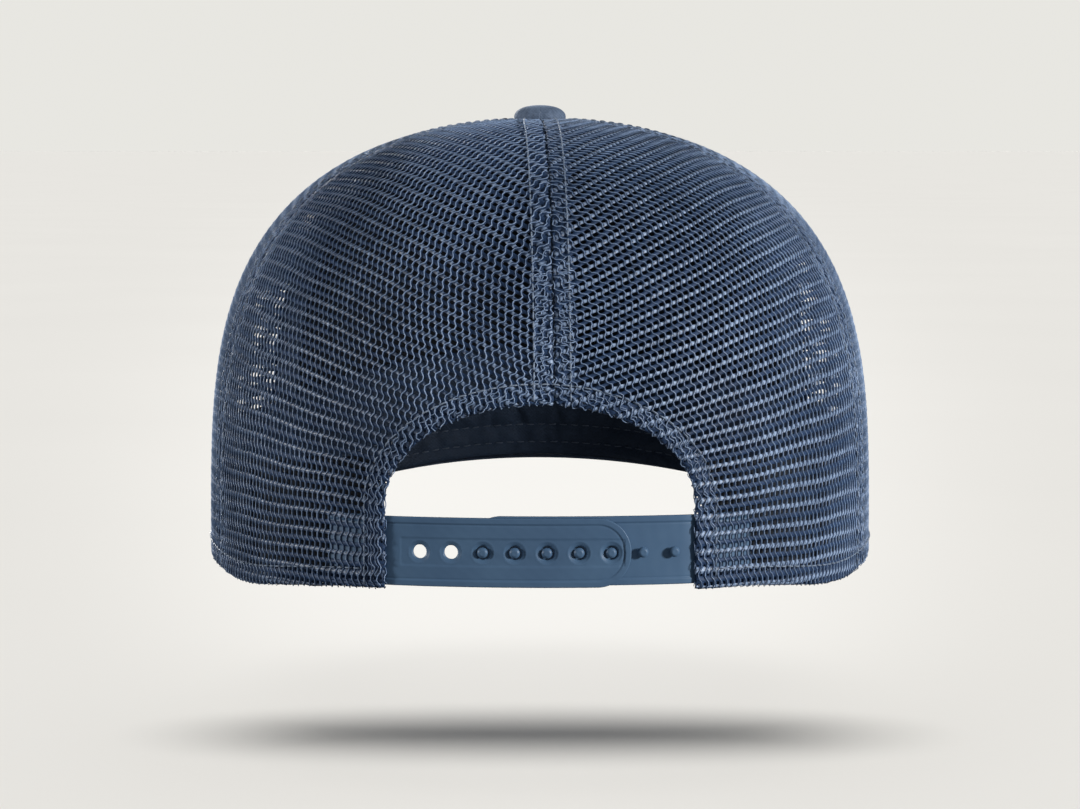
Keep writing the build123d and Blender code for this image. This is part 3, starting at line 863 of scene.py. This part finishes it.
def front_panel():
    """Smooth front cloth with turned edges and slight puckers by its seams."""
    az, s, from_seam = front_grid(TOP_RADIUS, 0.25, 170, 230)
    from_rim = s - rim_length(az)
    pucker = 0.22 * np.exp(-from_seam / 5) * np.sin(s / 1.35 + 0.8 * np.sin(s / 7))
    pucker += 0.16 * np.exp(-from_rim / 4) * np.sin(az * 95)
    dips = sum(0.22 * np.exp(-((from_seam - row) / 0.55) ** 2) for row in FRONT_ROWS)
    dips += 0.2 * np.exp(-((from_rim - RIM_ROW) / 0.6) ** 2)
    broad = 0.25 * np.sin(az * 7 + 1) * np.sin(s / 21) + 0.12 * np.sin(az * 17 + s / 9)
    turned = 0.45 * np.exp(-((from_seam - 0.1) / 0.5) ** 2) + 0.35 * np.exp(-(from_rim / 0.5) ** 2)
    depth = 0.15 + dips + turned - pucker * 0.8 - broad * np.clip(from_seam / 15, 0, 1)
    back = depth + CLOTH_THICK
    add_layer("front_panel_cloth", az, s, depth, back, FRONT, "front_fabric", "front_panel")


def front_foam():
    """Foam behind the front cloth, thin and rounded along its edges and dimpled behind."""
    az, s, from_seam = front_grid(FOAM_TOP, FOAM_INSET, 110, 150)
    thin = 0.7 * np.exp(-np.minimum(from_seam - FOAM_INSET + 0.2, s - rim_length(az)) / 0.8)
    dimple = 0.08 * np.sin(s * 1.3) * np.sin(az * 110) + 0.12 * np.sin(s / 8) * np.sin(az * 23)
    front, back = FOAM_FACES[0] + 0.3 * thin, FOAM_FACES[1] - thin + dimple
    add_layer("front_foam_layer", az, s, front, back, FOAM, "foam", "front_foam")


# ---------------------------------------------------------------------------------------------
# Sweatband, puffed by a cloth simulation between its stitched rows

BAND_END = math.radians(27)
BAND_LOW = 0.3
BAND_HIGH = 33.0
BAND_DEPTH = 4.35
BAND_THICK = 0.42
PAD_FACES = (1.5, 0.5)  # outward from the band's cloth
BAND_ROWS = (4.0, 9.3)  # stitched rows above the rim
BAND_PUFF = (-1.5, 0.25)  # least and most that the cloth may move outward
BAND_SHIFT = 1.8
SIM_SCALE = 0.01  # metres in the simulation for a millimetre of band
SIM_FRAMES = 22


def simulate_band(points, pinned, faces):
    """Cloth with a little spare length, held at its stitches and pushed off the pad by pressure."""
    mesh = bpy.data.meshes.new("band_sim")
    wobble = np.random.default_rng(3).normal(0, 0.02, points.shape)
    mesh.from_pydata(((points + wobble) * SIM_SCALE).tolist(), [], faces.tolist())
    sim = link(bpy.data.objects.new("band_sim", mesh))
    sim.vertex_groups.new(name="held").add([int(i) for i in np.flatnonzero(pinned)], 1.0, "REPLACE")
    settings = sim.modifiers.new("Cloth", "CLOTH").settings
    settings.quality = 6
    settings.mass = 0.3
    settings.tension_stiffness = settings.compression_stiffness = 18
    settings.shear_stiffness = 8
    settings.bending_stiffness = 0.4
    settings.vertex_group_mass = "held"
    settings.shrink_min = -0.055
    settings.use_pressure = True
    settings.uniform_pressure_force = 2.5
    settings.effector_weights.gravity = 0.0
    scene = bpy.context.scene
    for frame_number in range(1, SIM_FRAMES + 1):
        scene.frame_set(frame_number)
    result = sim.evaluated_get(bpy.context.evaluated_depsgraph_get())
    found = np.zeros(len(points) * 3, np.float32)
    result.to_mesh().vertices.foreach_get("co", found)
    result.to_mesh_clear()
    bpy.data.objects.remove(sim)
    scene.frame_set(1)
    return found.reshape(-1, 3).astype(float) / SIM_SCALE


def sweatband():
    """The band's cloth and pad. Returns the stitched rows of its face, with the way off it."""
    sewn = (*BAND_ROWS, BAND_HIGH - 2.0)
    up = np.unique(np.concatenate([np.linspace(BAND_LOW, BAND_HIGH, 25), sewn]))
    upward, along = np.meshgrid(up, np.linspace(0, 1, 420), indexing="ij")
    az = BAND_END + (TAU - 2 * BAND_END) * along
    face, normal = below_face(az, rim_length(az) + upward, BAND_DEPTH)
    flat, facing = face.reshape(-1, 3), normal.reshape(-1, 3)
    pinned = np.isin(upward, (up[0], up[-1], *BAND_ROWS)) | (along == 0) | (along == 1)
    solved = simulate_band(flat, pinned.ravel(), grid_faces(*upward.shape))
    moved = solved - flat
    off = np.sum(moved * facing, axis=1)
    moved += facing * (np.clip(off, *BAND_PUFF) - off)[:, None]
    moved *= np.minimum(1, BAND_SHIFT / np.maximum(np.linalg.norm(moved, axis=1), 1e-6))[:, None]
    dips = sum(0.25 * np.exp(-((upward - row) / 0.6) ** 2) for row in BAND_ROWS)
    inner = (flat + moved).reshape(face.shape) + normal * dips[..., None]
    add_sheet("sweatband_cloth", face + normal * BAND_THICK, inner, BAND, "band_fabric", "sweatband")
    outside, inside = [face + normal * depth for depth in PAD_FACES]
    add_sheet("sweatband_pad_layer", outside, inside, FOAM, "foam", "sweatband_pad")
    rows = [int(np.argmin(np.abs(up - row))) for row in sewn]
    return [(inner[row, 2:-2] - normal[row, 2:-2] * 0.05, -normal[row, 2:-2]) for row in rows]


# ---------------------------------------------------------------------------------------------
# Visor

VISOR_REACH = 70.0
VISOR_HALF = 84.0
VISOR_WIDEST = -75.0
VISOR_ROOT = 57.0
VISOR_POWER = 2.4
VISOR_SLOPE = math.radians(3)
VISOR_THICK = 3.8
VISOR_GAP = 0.3  # between the crown's face and the visor's root
BOARD_HALF = 1.15  # half thickness of the room for the board
BOARD_INSET = 1.35
VISOR_FRONT = HALF_LENGTH + VISOR_REACH + VISOR_WIDEST
VISOR_ROWS = (5.5, 11.5, 17.5, 23.5, 29.5, 35.5)  # stitched rows in from the edge


def visor_inset(x, y):
    """Distance in from the visor's outline, as the shrink of the outline that reaches the place."""
    low, high = np.zeros_like(x) - 4.0, np.zeros_like(x) + 54.0
    for _ in range(30):
        middle = (low + high) / 2
        front = (np.abs(x) / (VISOR_HALF - middle)) ** VISOR_POWER
        front = front + (np.abs(y - VISOR_WIDEST) / (VISOR_FRONT - middle)) ** VISOR_POWER
        back = (x / (VISOR_HALF - middle)) ** 2 + ((y - VISOR_WIDEST) / (VISOR_ROOT - middle)) ** 2
        size = np.where(y < VISOR_WIDEST, front, back)
        low, high = np.where(size < 1, middle, low), np.where(size < 1, high, middle)
    return low


def visor_place(x, y, lift):
    """A place on the visor a height above its underside, arched across and sloped down."""
    rise = VISOR_ARCH * (1 - (x / HALF_WIDTH) ** 2) + lift - VISOR_ARCH
    cos, sin = math.cos(VISOR_SLOPE), math.sin(VISOR_SLOPE)
    forward = y - VISOR_WIDEST
    y, z = VISOR_WIDEST + forward * cos - rise * sin, VISOR_ARCH + forward * sin + rise * cos
    return np.stack([x, y, z], axis=-1)


def visor_curves(columns):
    """Root and outline of the visor, point for point, in plan."""
    corner_y = -50.0
    for _ in range(60):
        crown_x = (HALF_WIDTH + VISOR_GAP) * math.sqrt(1 - (corner_y / (HALF_LENGTH + VISOR_GAP)) ** 2)
        root = VISOR_ROOT * math.sqrt(max(0, 1 - (crown_x / VISOR_HALF) ** 2))
        corner_y = 0.5 * corner_y + 0.5 * (VISOR_WIDEST + root)
    angle = np.linspace(0, math.pi / 2, 400)[1:]
    back_y = np.linspace(corner_y, VISOR_WIDEST, 80)
    back_x = VISOR_HALF * np.sqrt(np.clip(1 - ((back_y - VISOR_WIDEST) / VISOR_ROOT) ** 2, 0, 1))
    x = np.concatenate([back_x, VISOR_HALF * np.cos(angle) ** (2 / VISOR_POWER)])
    y = np.concatenate([back_y, VISOR_WIDEST - VISOR_FRONT * np.sin(angle) ** (2 / VISOR_POWER)])
    outline = np.stack([np.concatenate([x, -x[-2::-1]]), np.concatenate([y, y[-2::-1]])], axis=1)
    length, share = path_length(outline), np.linspace(0, 1, columns)
    turn = math.atan2(crown_x, -corner_y) * (1 - 2 * share)
    root = plan_radius(turn, VISOR_GAP) * np.stack([np.sin(turn), -np.cos(turn)])
    return root, interp(share * length[-1], length, outline).T


def visor():
    """Top and under cover: cloth stretched over the board, quilted along the stitched rows."""
    root, edge_line = visor_curves(300)
    rounding = 0.95 + 0.05 * np.sin(np.linspace(0, math.pi / 2, 16))
    share = np.concatenate([np.linspace(0, 0.95, 84)[:-1], rounding])
    x, y = [start + (end - start) * share[:, None] for start, end in zip(root, edge_line)]
    edge = np.maximum(visor_inset(x, y), 0)
    edge[-1] = 0
    half = VISOR_THICK / 2
    curve = np.sqrt(np.clip(1 - (1 - np.clip(edge / half, 0, 1)) ** 2, 0, 1))
    row_dip = sum(np.exp(-((edge - row) / 0.6) ** 2) for row in VISOR_ROWS)
    along = np.linspace(0, 1, 300)[None] * 460
    pull = np.sin(along * 2.2 + 0.7 * np.sin(along / 9))
    board = np.clip((edge - BOARD_INSET) / 0.3, 0, 1)
    for name, up in (("top", 1), ("under", -1)):
        swell = 0.10 * np.sin(x / 13 + up) * np.sin(y / 11) - row_dip * (0.24 + 0.05 * pull)
        outer = visor_place(x, y, half + up * ((half + 0.12) * curve + swell * curve))[:, ::up]
        inner = visor_place(x, y, half + up * (0.03 + (BOARD_HALF - 0.03) * board))[:, ::up]
        add_sheet(f"visor_{name}_cloth", outer, inner, FRONT, "visor_fabric", f"visor_{name}_cover")


# ---------------------------------------------------------------------------------------------
# Button

BUTTON_LOW, BUTTON_HIGH = span("button_cover")
BUTTON_DRAWN = 7.25  # radius at which its profile is written
BUTTON_SKIN = 0.42


def button():
    """Cloth drawn over a domed disc and gathered under its edge."""
    radii = [0.0, 1.2, 2.4, 3.6, 4.6, 5.45, 6.05, 6.5, 6.8, 6.95, 6.98, 6.9, 6.75, 6.5]
    heights = [1.0, 0.99, 0.96, 0.90, 0.82, 0.71, 0.59, 0.46, 0.32, 0.18, 0.05, -0.08, -0.2, -0.3]
    full, height = (BUTTON_HIGH - BUTTON_LOW)[0] / 2, (BUTTON_HIGH - BUTTON_LOW)[2]
    share = np.linspace(0, len(radii) - 1, 48)
    radius = np.interp(share, np.arange(len(radii)), radii)[:, None] * full / BUTTON_DRAWN
    rise = np.interp(share, np.arange(len(radii)), heights)[:, None] * height
    turn = np.linspace(0, TAU, 145)
    near_edge = np.clip((radius / full - 0.6) / 0.4, 0, 1) ** 2
    folds = (0.10 * np.sin(turn * 13 + 0.9 * np.sin(turn * 3)) + 0.05 * np.sin(turn * 29 + 1)) * near_edge
    layers = []
    for skin in (0.0, BUTTON_SKIN):
        r = np.maximum(radius - skin * near_edge + folds, 0.0) * (radius > 0)
        z = BUTTON_LOW[2] + rise - skin * (1 - 0.7 * near_edge) + 0.4 * folds
        layers.append(np.stack([r * np.sin(turn), r * np.cos(turn), z], axis=-1))
    add_sheet("button_cloth", *layers, BUTTON, "front_fabric", "button_cover")


# ---------------------------------------------------------------------------------------------
# Snap straps. Each is one moulded piece that bends at its flex line, so it is drawn whole.

STRAP_LOW, STRAP_HIGH = [corner[2] for corner in span("hole_strap")]
STRAP_HALF = (STRAP_HIGH - STRAP_LOW) / 2
STRAP_MIDDLE = (STRAP_HIGH + STRAP_LOW) / 2
PEG_RISE = span("peg_strap")[0][2] - STRAP_LOW
STRAP_ARC = 140.0
STRAP_STEP = 1.35
STRAP_SKIN = 0.6  # half of its thickness
END_ROUND = 8.4
SEWN = 18.0  # length sewn inside the tab
SNAP_PITCH = 8.0
HOLE_RADIUS = 1.75
RING_RADIUS = 2.75
ANCHOR_DEPTH = 2.0
BEND = 3.0  # half length of the curve from the crown's line to the straps' arc
BLEND = 1.6  # half length either side of the hinge
CELL = 0.22
FINE = 0.1
HINGE = {joint["name"]: joint for joint in frame["joints"]}["hole_strap_hinge"]
HINGE_X, HINGE_Y = [place / MM for place in HINGE["pos_m"][:2]]
PEG_ARC = STRAP_ARC - STRAP_STEP
ARC_X = -(STRAP_ARC**2 - PEG_ARC**2) / (4 * HINGE_X)
ARC_Y = HINGE_Y - math.sqrt(STRAP_ARC**2 - (HINGE_X - ARC_X) ** 2)
HOLE_START = math.asin((HINGE_X - ARC_X) / STRAP_ARC)
PEG_START = -math.asin((HINGE_X + ARC_X) / PEG_ARC)


class StrapPath:
    """Middle line of a strap in plan: along the crown inside the tab, then on the straps' arc."""

    def __init__(self, side, arc, start):
        turn = np.linspace(0, math.radians(15), 200)
        wall = below_face(side * (math.radians(24) + turn), np.full(200, 9.0), ANCHOR_DEPTH)[0][:, :2]
        self.fine = np.arange(-SEWN - 1, 80, FINE)
        angle = start - side * np.maximum(self.fine, 0) / arc
        on_arc = np.stack([ARC_X + arc * np.sin(angle), ARC_Y + arc * np.cos(angle)], axis=1)
        line = np.where(self.fine[:, None] >= 0, on_arc, interp(-self.fine, path_length(wall), wall))
        low, high = np.searchsorted(self.fine, (-BEND, BEND))
        t = ((self.fine[low:high] + BEND) / (2 * BEND))[:, None]
        a, b = line[low], line[high]
        da, db = [(line[i + 1] - line[i]) / FINE * 2 * BEND for i in (low - 1, high)]
        curve = (2 * t**3 - 3 * t**2 + 1) * a + (t**3 - 2 * t**2 + t) * da
        line[low:high] = curve + (3 * t**2 - 2 * t**3) * b + (t**3 - t**2) * db
        self.line = line
        along = unit(np.gradient(line, axis=0))
        self.facing = np.stack([-along[:, 1], along[:, 0]], axis=1)
        self.facing *= math.copysign(1, self.facing[-1][1])

    def place(self, s, z, height):
        """Points of the strap at a length from the flex line, a height and a distance outward."""
        s, z, height = np.broadcast_arrays(s, z, height)
        level = interp(s, self.fine, self.line) + interp(s, self.fine, self.facing) * height[..., None]
        return np.concatenate([level, z[..., None]], axis=-1)


def round_holes(s, z, faces, holes):
    """Takes the faces inside each hole out of a grid and moves the cut edge onto its circle."""
    for at in holes:
        faces = faces[~((np.hypot(s - at, z)[faces]) < HOLE_RADIUS).any(axis=1)]
    edges = np.concatenate([faces[:, [i, (i + 1) % 4]] for i in range(4)])
    edges, count = np.unique(np.sort(edges, axis=1), axis=0, return_counts=True)
    rim = np.unique(edges[count == 1])
    for at in holes:
        close = rim[np.hypot(s[rim] - at, z[rim]) < HOLE_RADIUS + 3 * CELL]
        turn = np.arctan2(z[close], s[close] - at)
        s[close], z[close] = at + HOLE_RADIUS * np.cos(turn), HOLE_RADIUS * np.sin(turn)
    return faces


def strap_sheet(path, length, middle, holes, lip, sunk):
    """Points and faces of a strap: raised edge, sunk panel, dished rings and round holes."""
    flat_end = length - END_ROUND
    straight = np.linspace(-SEWN, flat_end, int((flat_end + SEWN) / CELL) + 1)
    s_line = np.concatenate([straight, flat_end + END_ROUND * np.sin(np.linspace(0, math.pi / 2, 46))[1:]])
    past = np.maximum(s_line - flat_end, 0)
    half_line = (STRAP_HALF - END_ROUND) + np.sqrt(np.maximum(END_ROUND**2 - past**2, 0))
    spread = math.pi / 2 * 0.86
    t_line = np.sin(np.linspace(-1, 1, 85) * spread) / math.sin(spread)
    s, t = np.meshgrid(s_line, t_line, indexing="ij")
    faces = grid_faces(*s.shape)
    s, z = s.ravel(), (t * half_line[:, None]).ravel()
    if holes:
        faces = round_holes(s, z, faces, holes)
    past = s - flat_end
    corner = END_ROUND - np.hypot(np.maximum(past, 0), np.maximum(np.abs(z) - (STRAP_HALF - END_ROUND), 0))
    edge = np.where(past > 0, corner, STRAP_HALF - np.abs(z))
    rounding = 0.28 * (1 - np.sqrt(np.clip(1 - (1 - np.clip(edge / 0.28, 0, 1)) ** 2, 0, 1)))
    height = STRAP_SKIN + lip - 0.17 * soft(edge - 1.55, 0.16) - 0.07 * np.exp(-((edge - 1.85) / 0.16) ** 2)
    if sunk:
        height -= 0.14 * soft(s - sunk[0], 0.14) * soft(sunk[1] - s, 0.14) * soft(3.4 - np.abs(z), 0.14)
    ring_cut = np.zeros_like(s)
    for at in holes:
        away = np.hypot(s - at, z)
        dish = np.clip((RING_RADIUS - away) / (RING_RADIUS - HOLE_RADIUS), 0, 1)
        ring_cut = np.maximum(ring_cut, 0.36 * dish**0.8)
        height += 0.06 * np.exp(-((away - RING_RADIUS - 0.12) / 0.14) ** 2)
    height += 0.012 * np.sin(s * 1.7 + z * 0.9) * np.sin(z * 1.3) - ring_cut - rounding
    outer, inner = path.place(s, middle + z, height), path.place(s, middle + z, rounding - STRAP_SKIN)
    used, faces = np.unique(faces, return_inverse=True)
    return close_sheet(outer[used], inner[used], faces.reshape(-1, 4))


def add_strap(node, path, length, middle, *shape):
    """One strap, drawn whole from the crown's line onto the straps' arc."""
    sheet, nodes = strap_sheet(path, length, middle, *shape), (node, node + "_anchor")
    piece = add_piece(node + "_moulding", *sheet, PLASTIC, "strap_plastic", *nodes, body=None, turn_out=True)
    start, end = (path.place(np.array([-BLEND, BLEND]), middle, 0.0) * MM).tolist()
    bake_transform(piece)


def snap_pegs(path, places):
    """Seven mushroom pegs moulded on the inner strap."""
    stem = [(1.35, 0.28), (1.12, 0.42), (1.05, 0.6), (1.05, 1.18)]
    head = [(1.12, 1.32), (1.32, 1.48), (1.34, 1.62), (1.28, 1.82), (1.05, 2.06), (0.78, 2.24)]
    dimple = [(0.7, 2.27), (0.35, 2.24)]
    radius, height = np.array(stem + head + dimple).T[..., None]
    tip_height, sides = 2.23, 32
    turn = np.linspace(0, TAU, sides, endpoint=False)
    parts = []
    for at in places:
        beside = (radius * np.cos(turn)).ravel()
        z = (STRAP_MIDDLE + radius * np.sin(turn)).ravel()
        base = path.place(np.array([at, at + 0.1]), 0.0, 0.0)
        points = path.place(np.full(len(z), at), z, np.repeat(height, sides))
        points = points + unit(base[1] - base[0]) * beside[:, None]
        tip = path.place(np.array([at]), STRAP_MIDDLE, tip_height)
        index = np.arange(len(points)).reshape(-1, sides)
        crown = [[int(a), int(b), len(points)] for a, b in zip(index[-1], np.roll(index[-1], -1))]
        parts.append((np.concatenate([points, tip]), ring_faces(index) + crown + [index[0][::-1].tolist()]))
    add_piece("snap_pegs", *joined(parts), PLASTIC, "strap_plastic", body="peg_strap", turn_out=True)


def snap_straps():
    hole_path = StrapPath(1, STRAP_ARC, HOLE_START)
    peg_path = StrapPath(-1, PEG_ARC, PEG_START)
    holes = [SNAP_PITCH * (1 + index) for index in range(7)]
    sunk = (holes[0] - 4.8, holes[-1] + 3.36)
    add_strap("hole_strap", hole_path, holes[-1] + 5.0, STRAP_MIDDLE, holes, 0.06, sunk)
    snaps = [HOLE_START - SNAP_PITCH * (3 + index) / STRAP_ARC for index in range(7)]
    pegs = [(angle - PEG_START) * PEG_ARC for angle in snaps]
    add_strap("peg_strap", peg_path, pegs[0] + 4.0, STRAP_MIDDLE + PEG_RISE, [], -0.02, None)
    snap_pegs(peg_path, pegs)


# ---------------------------------------------------------------------------------------------
# Sewing threads

NET_STITCH = {"stitch": 1.9, "gap": 0.7, "lift": 0.16, "radius": 0.18}
FRONT_STITCH = {"stitch": 2.3, "gap": 0.5}
BAND_STITCH = {"stitch": 2.4, "gap": 0.9, "radius": 0.2}
VISOR_STITCH = {"stitch": 2.6, "gap": 0.6}
SUNK = 0.33  # of the stitches in the front cloth
SEAM_ROW = 3.4  # from a side seam to the stitches beside it
BACK_ROWS = (5.0, -4.1)


def seam_line(seam, offset, low=None, depth=0.0):
    """Path beside a seam at a constant distance, from a length up the crown to the button."""
    low = rim_length(seam) + 0.8 if low is None else low
    s = np.linspace(low, top_length(seam, 8.2), 400)
    radius = radius_height(np.full(400, seam), s)[0]
    return below_face(seam + offset / np.maximum(radius, 2), s, depth)


def level_line(start, end, up, depth=0.0):
    """Path a constant length above the rim."""
    az = np.linspace(start, end, 900)
    return below_face(az, rim_length(az) + up, depth)


def opening_line(margin):
    """Path round the closure opening, a distance outside its edge."""
    half = OPENING_HALF + margin
    angle = np.linspace(0, math.pi, 300)
    side = np.linspace(0.6, OPENING_SIDE, 60)[:-1]
    x = np.concatenate([np.full(59, half), half * np.cos(angle), np.full(59, -half)])
    arch = OPENING_SIDE + (OPENING_TOP - OPENING_SIDE + margin) * np.sin(angle)
    z = np.concatenate([side, arch, side[::-1]])
    az = azimuth_of(x, z, np.arcsin(np.clip(x / HALF_LENGTH, -0.99, 0.99)))
    return below_face(az, length_at(az, z))


def add_threads(name, lines, material, slot, shape):
    paths = [path for points, normals in lines for path in stitch_paths(points, normals, **shape)]
    add_piece(name, *tubes(paths), material, slot)


def sewing(band_lines):
    arch = length_at(BACK_SEAM, OPENING_TOP + 0.6)
    lines = [seam_line(BACK_SEAM, offset, arch) for offset in BACK_ROWS]
    add_threads("back_seam_stitches", lines, THREAD, "mesh_knit", NET_STITCH)
    lines = [seam_line(seam, offset) for seam in (SIDE_SEAM, -SIDE_SEAM) for offset in (-SEAM_ROW, SEAM_ROW)]
    add_threads("side_seam_stitches", lines, THREAD, "mesh_knit", NET_STITCH)
    lines = []
    for side in (1, -1):
        lines += [seam_line(side * FRONT_SEAM, side * offset, depth=SUNK) for offset in FRONT_ROWS]
        lines.append(seam_line(side * FRONT_SEAM, -side * SEAM_ROW))
    add_threads("front_seam_stitches", lines, THREAD, "front_fabric", FRONT_STITCH)
    edge = math.asin((OPENING_HALF + 5) / HALF_LENGTH) + 0.02
    lines = [level_line(side * edge, side * (FRONT_SEAM - 0.01), RIM_ROW + 0.9) for side in (1, -1)]
    add_threads("hem_stitches", [*lines, opening_line(5.0)], THREAD, "mesh_knit", NET_STITCH)
    lines = [level_line(FRONT_SEAM + 0.01, TAU - FRONT_SEAM - 0.01, RIM_ROW, SUNK)]
    add_threads("front_rim_stitches", lines, THREAD, "front_fabric", FRONT_STITCH)
    add_threads("sweatband_stitches", band_lines, DARK_THREAD, "band_fabric", BAND_STITCH)


def visor_stitches():
    """Rows of stitches that follow the visor's edge on both faces."""
    root, edge_line = visor_curves(1500)
    share = np.linspace(0, 1, 260)
    x, y = [start + (end - start) * share[:, None] for start, end in zip(root, edge_line)]
    inset = visor_inset(x, y)
    half = VISOR_THICK / 2
    for name, up in (("top", 1), ("under", -1)):
        lines = []
        for row in VISOR_ROWS:
            first, last = np.flatnonzero(inset[0] > row + 2.0)[[0, -1]]
            columns = np.arange(first, last + 1, 3)
            at = np.array([np.interp(-row, -inset[:, column], share) for column in columns])
            line_x, line_y = root[:, columns] + (edge_line[:, columns] - root[:, columns]) * at
            line = visor_place(line_x, line_y, half + up * (half - 0.1))
            normal = [0.0, -math.sin(VISOR_SLOPE) * up, math.cos(VISOR_SLOPE) * up]
            lines.append((line, np.tile(normal, (len(line), 1))))
        add_threads(f"visor_{name}_stitches", lines, THREAD, "visor_fabric", VISOR_STITCH)


def carried_over():
    """Materials of the CAD nodes that are shown as they are."""
    shown = {"visor_board": BOARD, "button_core": METAL, "button_rivet": METAL, "button_washer": METAL}
    for name, material in shown.items():
        mesh = frame["nodes"][name].data
        mesh.materials.clear()
        mesh.materials.append(material)


# ---------------------------------------------------------------------------------------------
# Stage: pale floor, soft light and the camera

FLOOR_HEIGHT = -0.052
FLOOR_HALF = 60.0
FLOOR_SHADES = ((0.797, 0.775, 0.729), (0.809, 0.787, 0.740))
BOUNCE = (0.13, 0.13, 0.13)  # floor as the cap's pieces see it
GLOW_PLACE = (0.5, 0.38, 0)  # in the picture
GLOW = 0.13
BACKDROP = (0.806, 0.797, 0.757)
WORLD_LIGHT = (0.15, 0.158, 0.17)
CARD = (0.09, 0.0255, 0.065)  # half length, half width and height over the floor
SUN_POWER, SUN_ANGLE = 2.68, math.radians(50)
AIM = Vector((0, 0, 0.05))  # of the lamps
LAMPS = {  # place, diameter and watts
    "key_right": ((-1.25, 0.72, 0.38), 0.26, 22),
    "key_left": ((1.47, 0.2, 0.3), 0.3, 13),
    "fill_low": ((0.1, 1.4, 0.05), 0.5, 0.9),
    "front_soft": ((0.5, -1.4, 0.45), 0.6, 13),
}
CAMERA_TARGET = Vector((0, 0, 0.0393))
CAMERA_DISTANCE = 0.9215
CAMERA_ELEVATION = math.radians(4.46)
CAMERA_LENS = 112


def link(holder):
    bpy.context.scene.collection.objects.link(holder)
    return holder


def group_of(name, things):
    group = bpy.data.collections.new(name)
    for thing in things:
        group.objects.link(thing)
    return group


def area_light(name, place, size, power, receivers):
    """Soft round light that only shines on the cap."""
    lamp = bpy.data.lights.new(name, "AREA")
    lamp.shape, lamp.size, lamp.energy = "DISK", size, power
    holder = link(bpy.data.objects.new(name, lamp))
    holder.location = place
    holder.rotation_euler = (AIM - Vector(place)).to_track_quat("-Z", "Y").to_euler()
    holder.light_linking.receiver_collection = receivers


def stage_mesh(name, corners, material):
    mesh = bpy.data.meshes.new(name)
    mesh.from_pydata(corners, [], [tuple(range(len(corners)))])
    mesh.materials.append(material)
    thing = link(bpy.data.objects.new(name, mesh))
    return thing


def floor_material():
    """Matt paint with a faint glow in the middle of the picture, and dim to the cap's own rays."""
    material, tree, shader = new_material("floor_paint")
    shade = blend_colours(tree, noise(tree, object_coordinates(tree, 1), 3.0), *FLOOR_SHADES)
    seen = tree.nodes.new("ShaderNodeLightPath").outputs["Is Camera Ray"]
    mix = tree.nodes.new("ShaderNodeMix")
    mix.data_type = "RGBA"
    tree.links.new(seen, mix.inputs[0])
    mix.inputs[6].default_value = (*BOUNCE, 1)
    tree.links.new(shade, mix.inputs[7])
    tree.links.new(mix.outputs[2], shader.inputs["Base Color"])
    away = tree.nodes.new("ShaderNodeVectorMath")
    away.operation = "DISTANCE"
    away.inputs[1].default_value = GLOW_PLACE
    tree.links.new(tree.nodes.new("ShaderNodeTexCoord").outputs["Window"], away.inputs[0])
    glow = eased(tree, away.outputs["Value"], 0.1, 0.55, GLOW, 0.0, "SMOOTHERSTEP")
    tree.links.new(math_node(tree, "MULTIPLY", glow, seen), shader.inputs["Emission Strength"])
    shader.inputs["Emission Color"].default_value = (1, 1, 1, 1)
    shader.inputs["Roughness"].default_value = 1.0
    shader.inputs["Specular IOR Level"].default_value = 0.0
    return material


def studio_world():
    """Pale to the camera, dimmer as a light."""
    world = bpy.data.worlds.new("studio")
    bpy.context.scene.world = world
    world.use_nodes = True
    tree = world.node_tree
    tree.nodes.clear()
    mix, rays = tree.nodes.new("ShaderNodeMixShader"), tree.nodes.new("ShaderNodeLightPath")
    tree.links.new(rays.outputs["Is Camera Ray"], mix.inputs[0])
    for socket, colour in ((1, WORLD_LIGHT), (2, BACKDROP)):
        background = tree.nodes.new("ShaderNodeBackground")
        background.inputs[0].default_value = (*colour, 1)
        tree.links.new(background.outputs[0], mix.inputs[socket])
    tree.links.new(mix.outputs[0], tree.nodes.new("ShaderNodeOutputWorld").inputs[0])


def stage():
    scene = bpy.context.scene
    cap = group_of("cap_pieces", [thing for thing in scene.objects if thing.type == "MESH"])
    paint = floor_material()
    corners = [(-1, -1), (1, -1), (1, 1), (-1, 1)]
    floor = stage_mesh("floor", [(x * FLOOR_HALF, y * FLOOR_HALF, FLOOR_HEIGHT) for x, y in corners], paint)
    turn = np.linspace(0, TAU, 64, endpoint=False)
    disc = [(CARD[0] * math.cos(a), CARD[1] * math.sin(a), FLOOR_HEIGHT + CARD[2]) for a in turn]
    card = stage_mesh("shadow_card", disc, paint)
    card.visible_camera = card.visible_diffuse = card.visible_glossy = card.visible_transmission = False
    studio_world()
    sun = bpy.data.lights.new("overhead", "SUN")
    sun.energy, sun.angle = SUN_POWER, SUN_ANGLE
    linking = link(bpy.data.objects.new("overhead", sun)).light_linking
    linking.receiver_collection = group_of("sunlit", [floor])
    linking.blocker_collection = group_of("shading", [card])
    for name, lamp in LAMPS.items():
        area_light(name, *lamp, cap)
    scene.view_settings.view_transform = "Standard"
    lens = bpy.data.cameras.new("camera")
    lens.sensor_width, lens.lens, lens.clip_end = 36, CAMERA_LENS, 200
    camera = link(bpy.data.objects.new("camera", lens))
    away = Vector((0, math.cos(CAMERA_ELEVATION), math.sin(CAMERA_ELEVATION)))
    camera.location = CAMERA_TARGET + away * CAMERA_DISTANCE
    camera.rotation_euler = (CAMERA_TARGET - camera.location).to_track_quat("-Z", "Y").to_euler()
    scene.camera = camera


mesh_crown()
seam_tapes()
front_panel()
front_foam()
band_lines = sweatband()
visor()
button()
snap_straps()
sewing(band_lines)
visor_stitches()
carried_over()
stage()
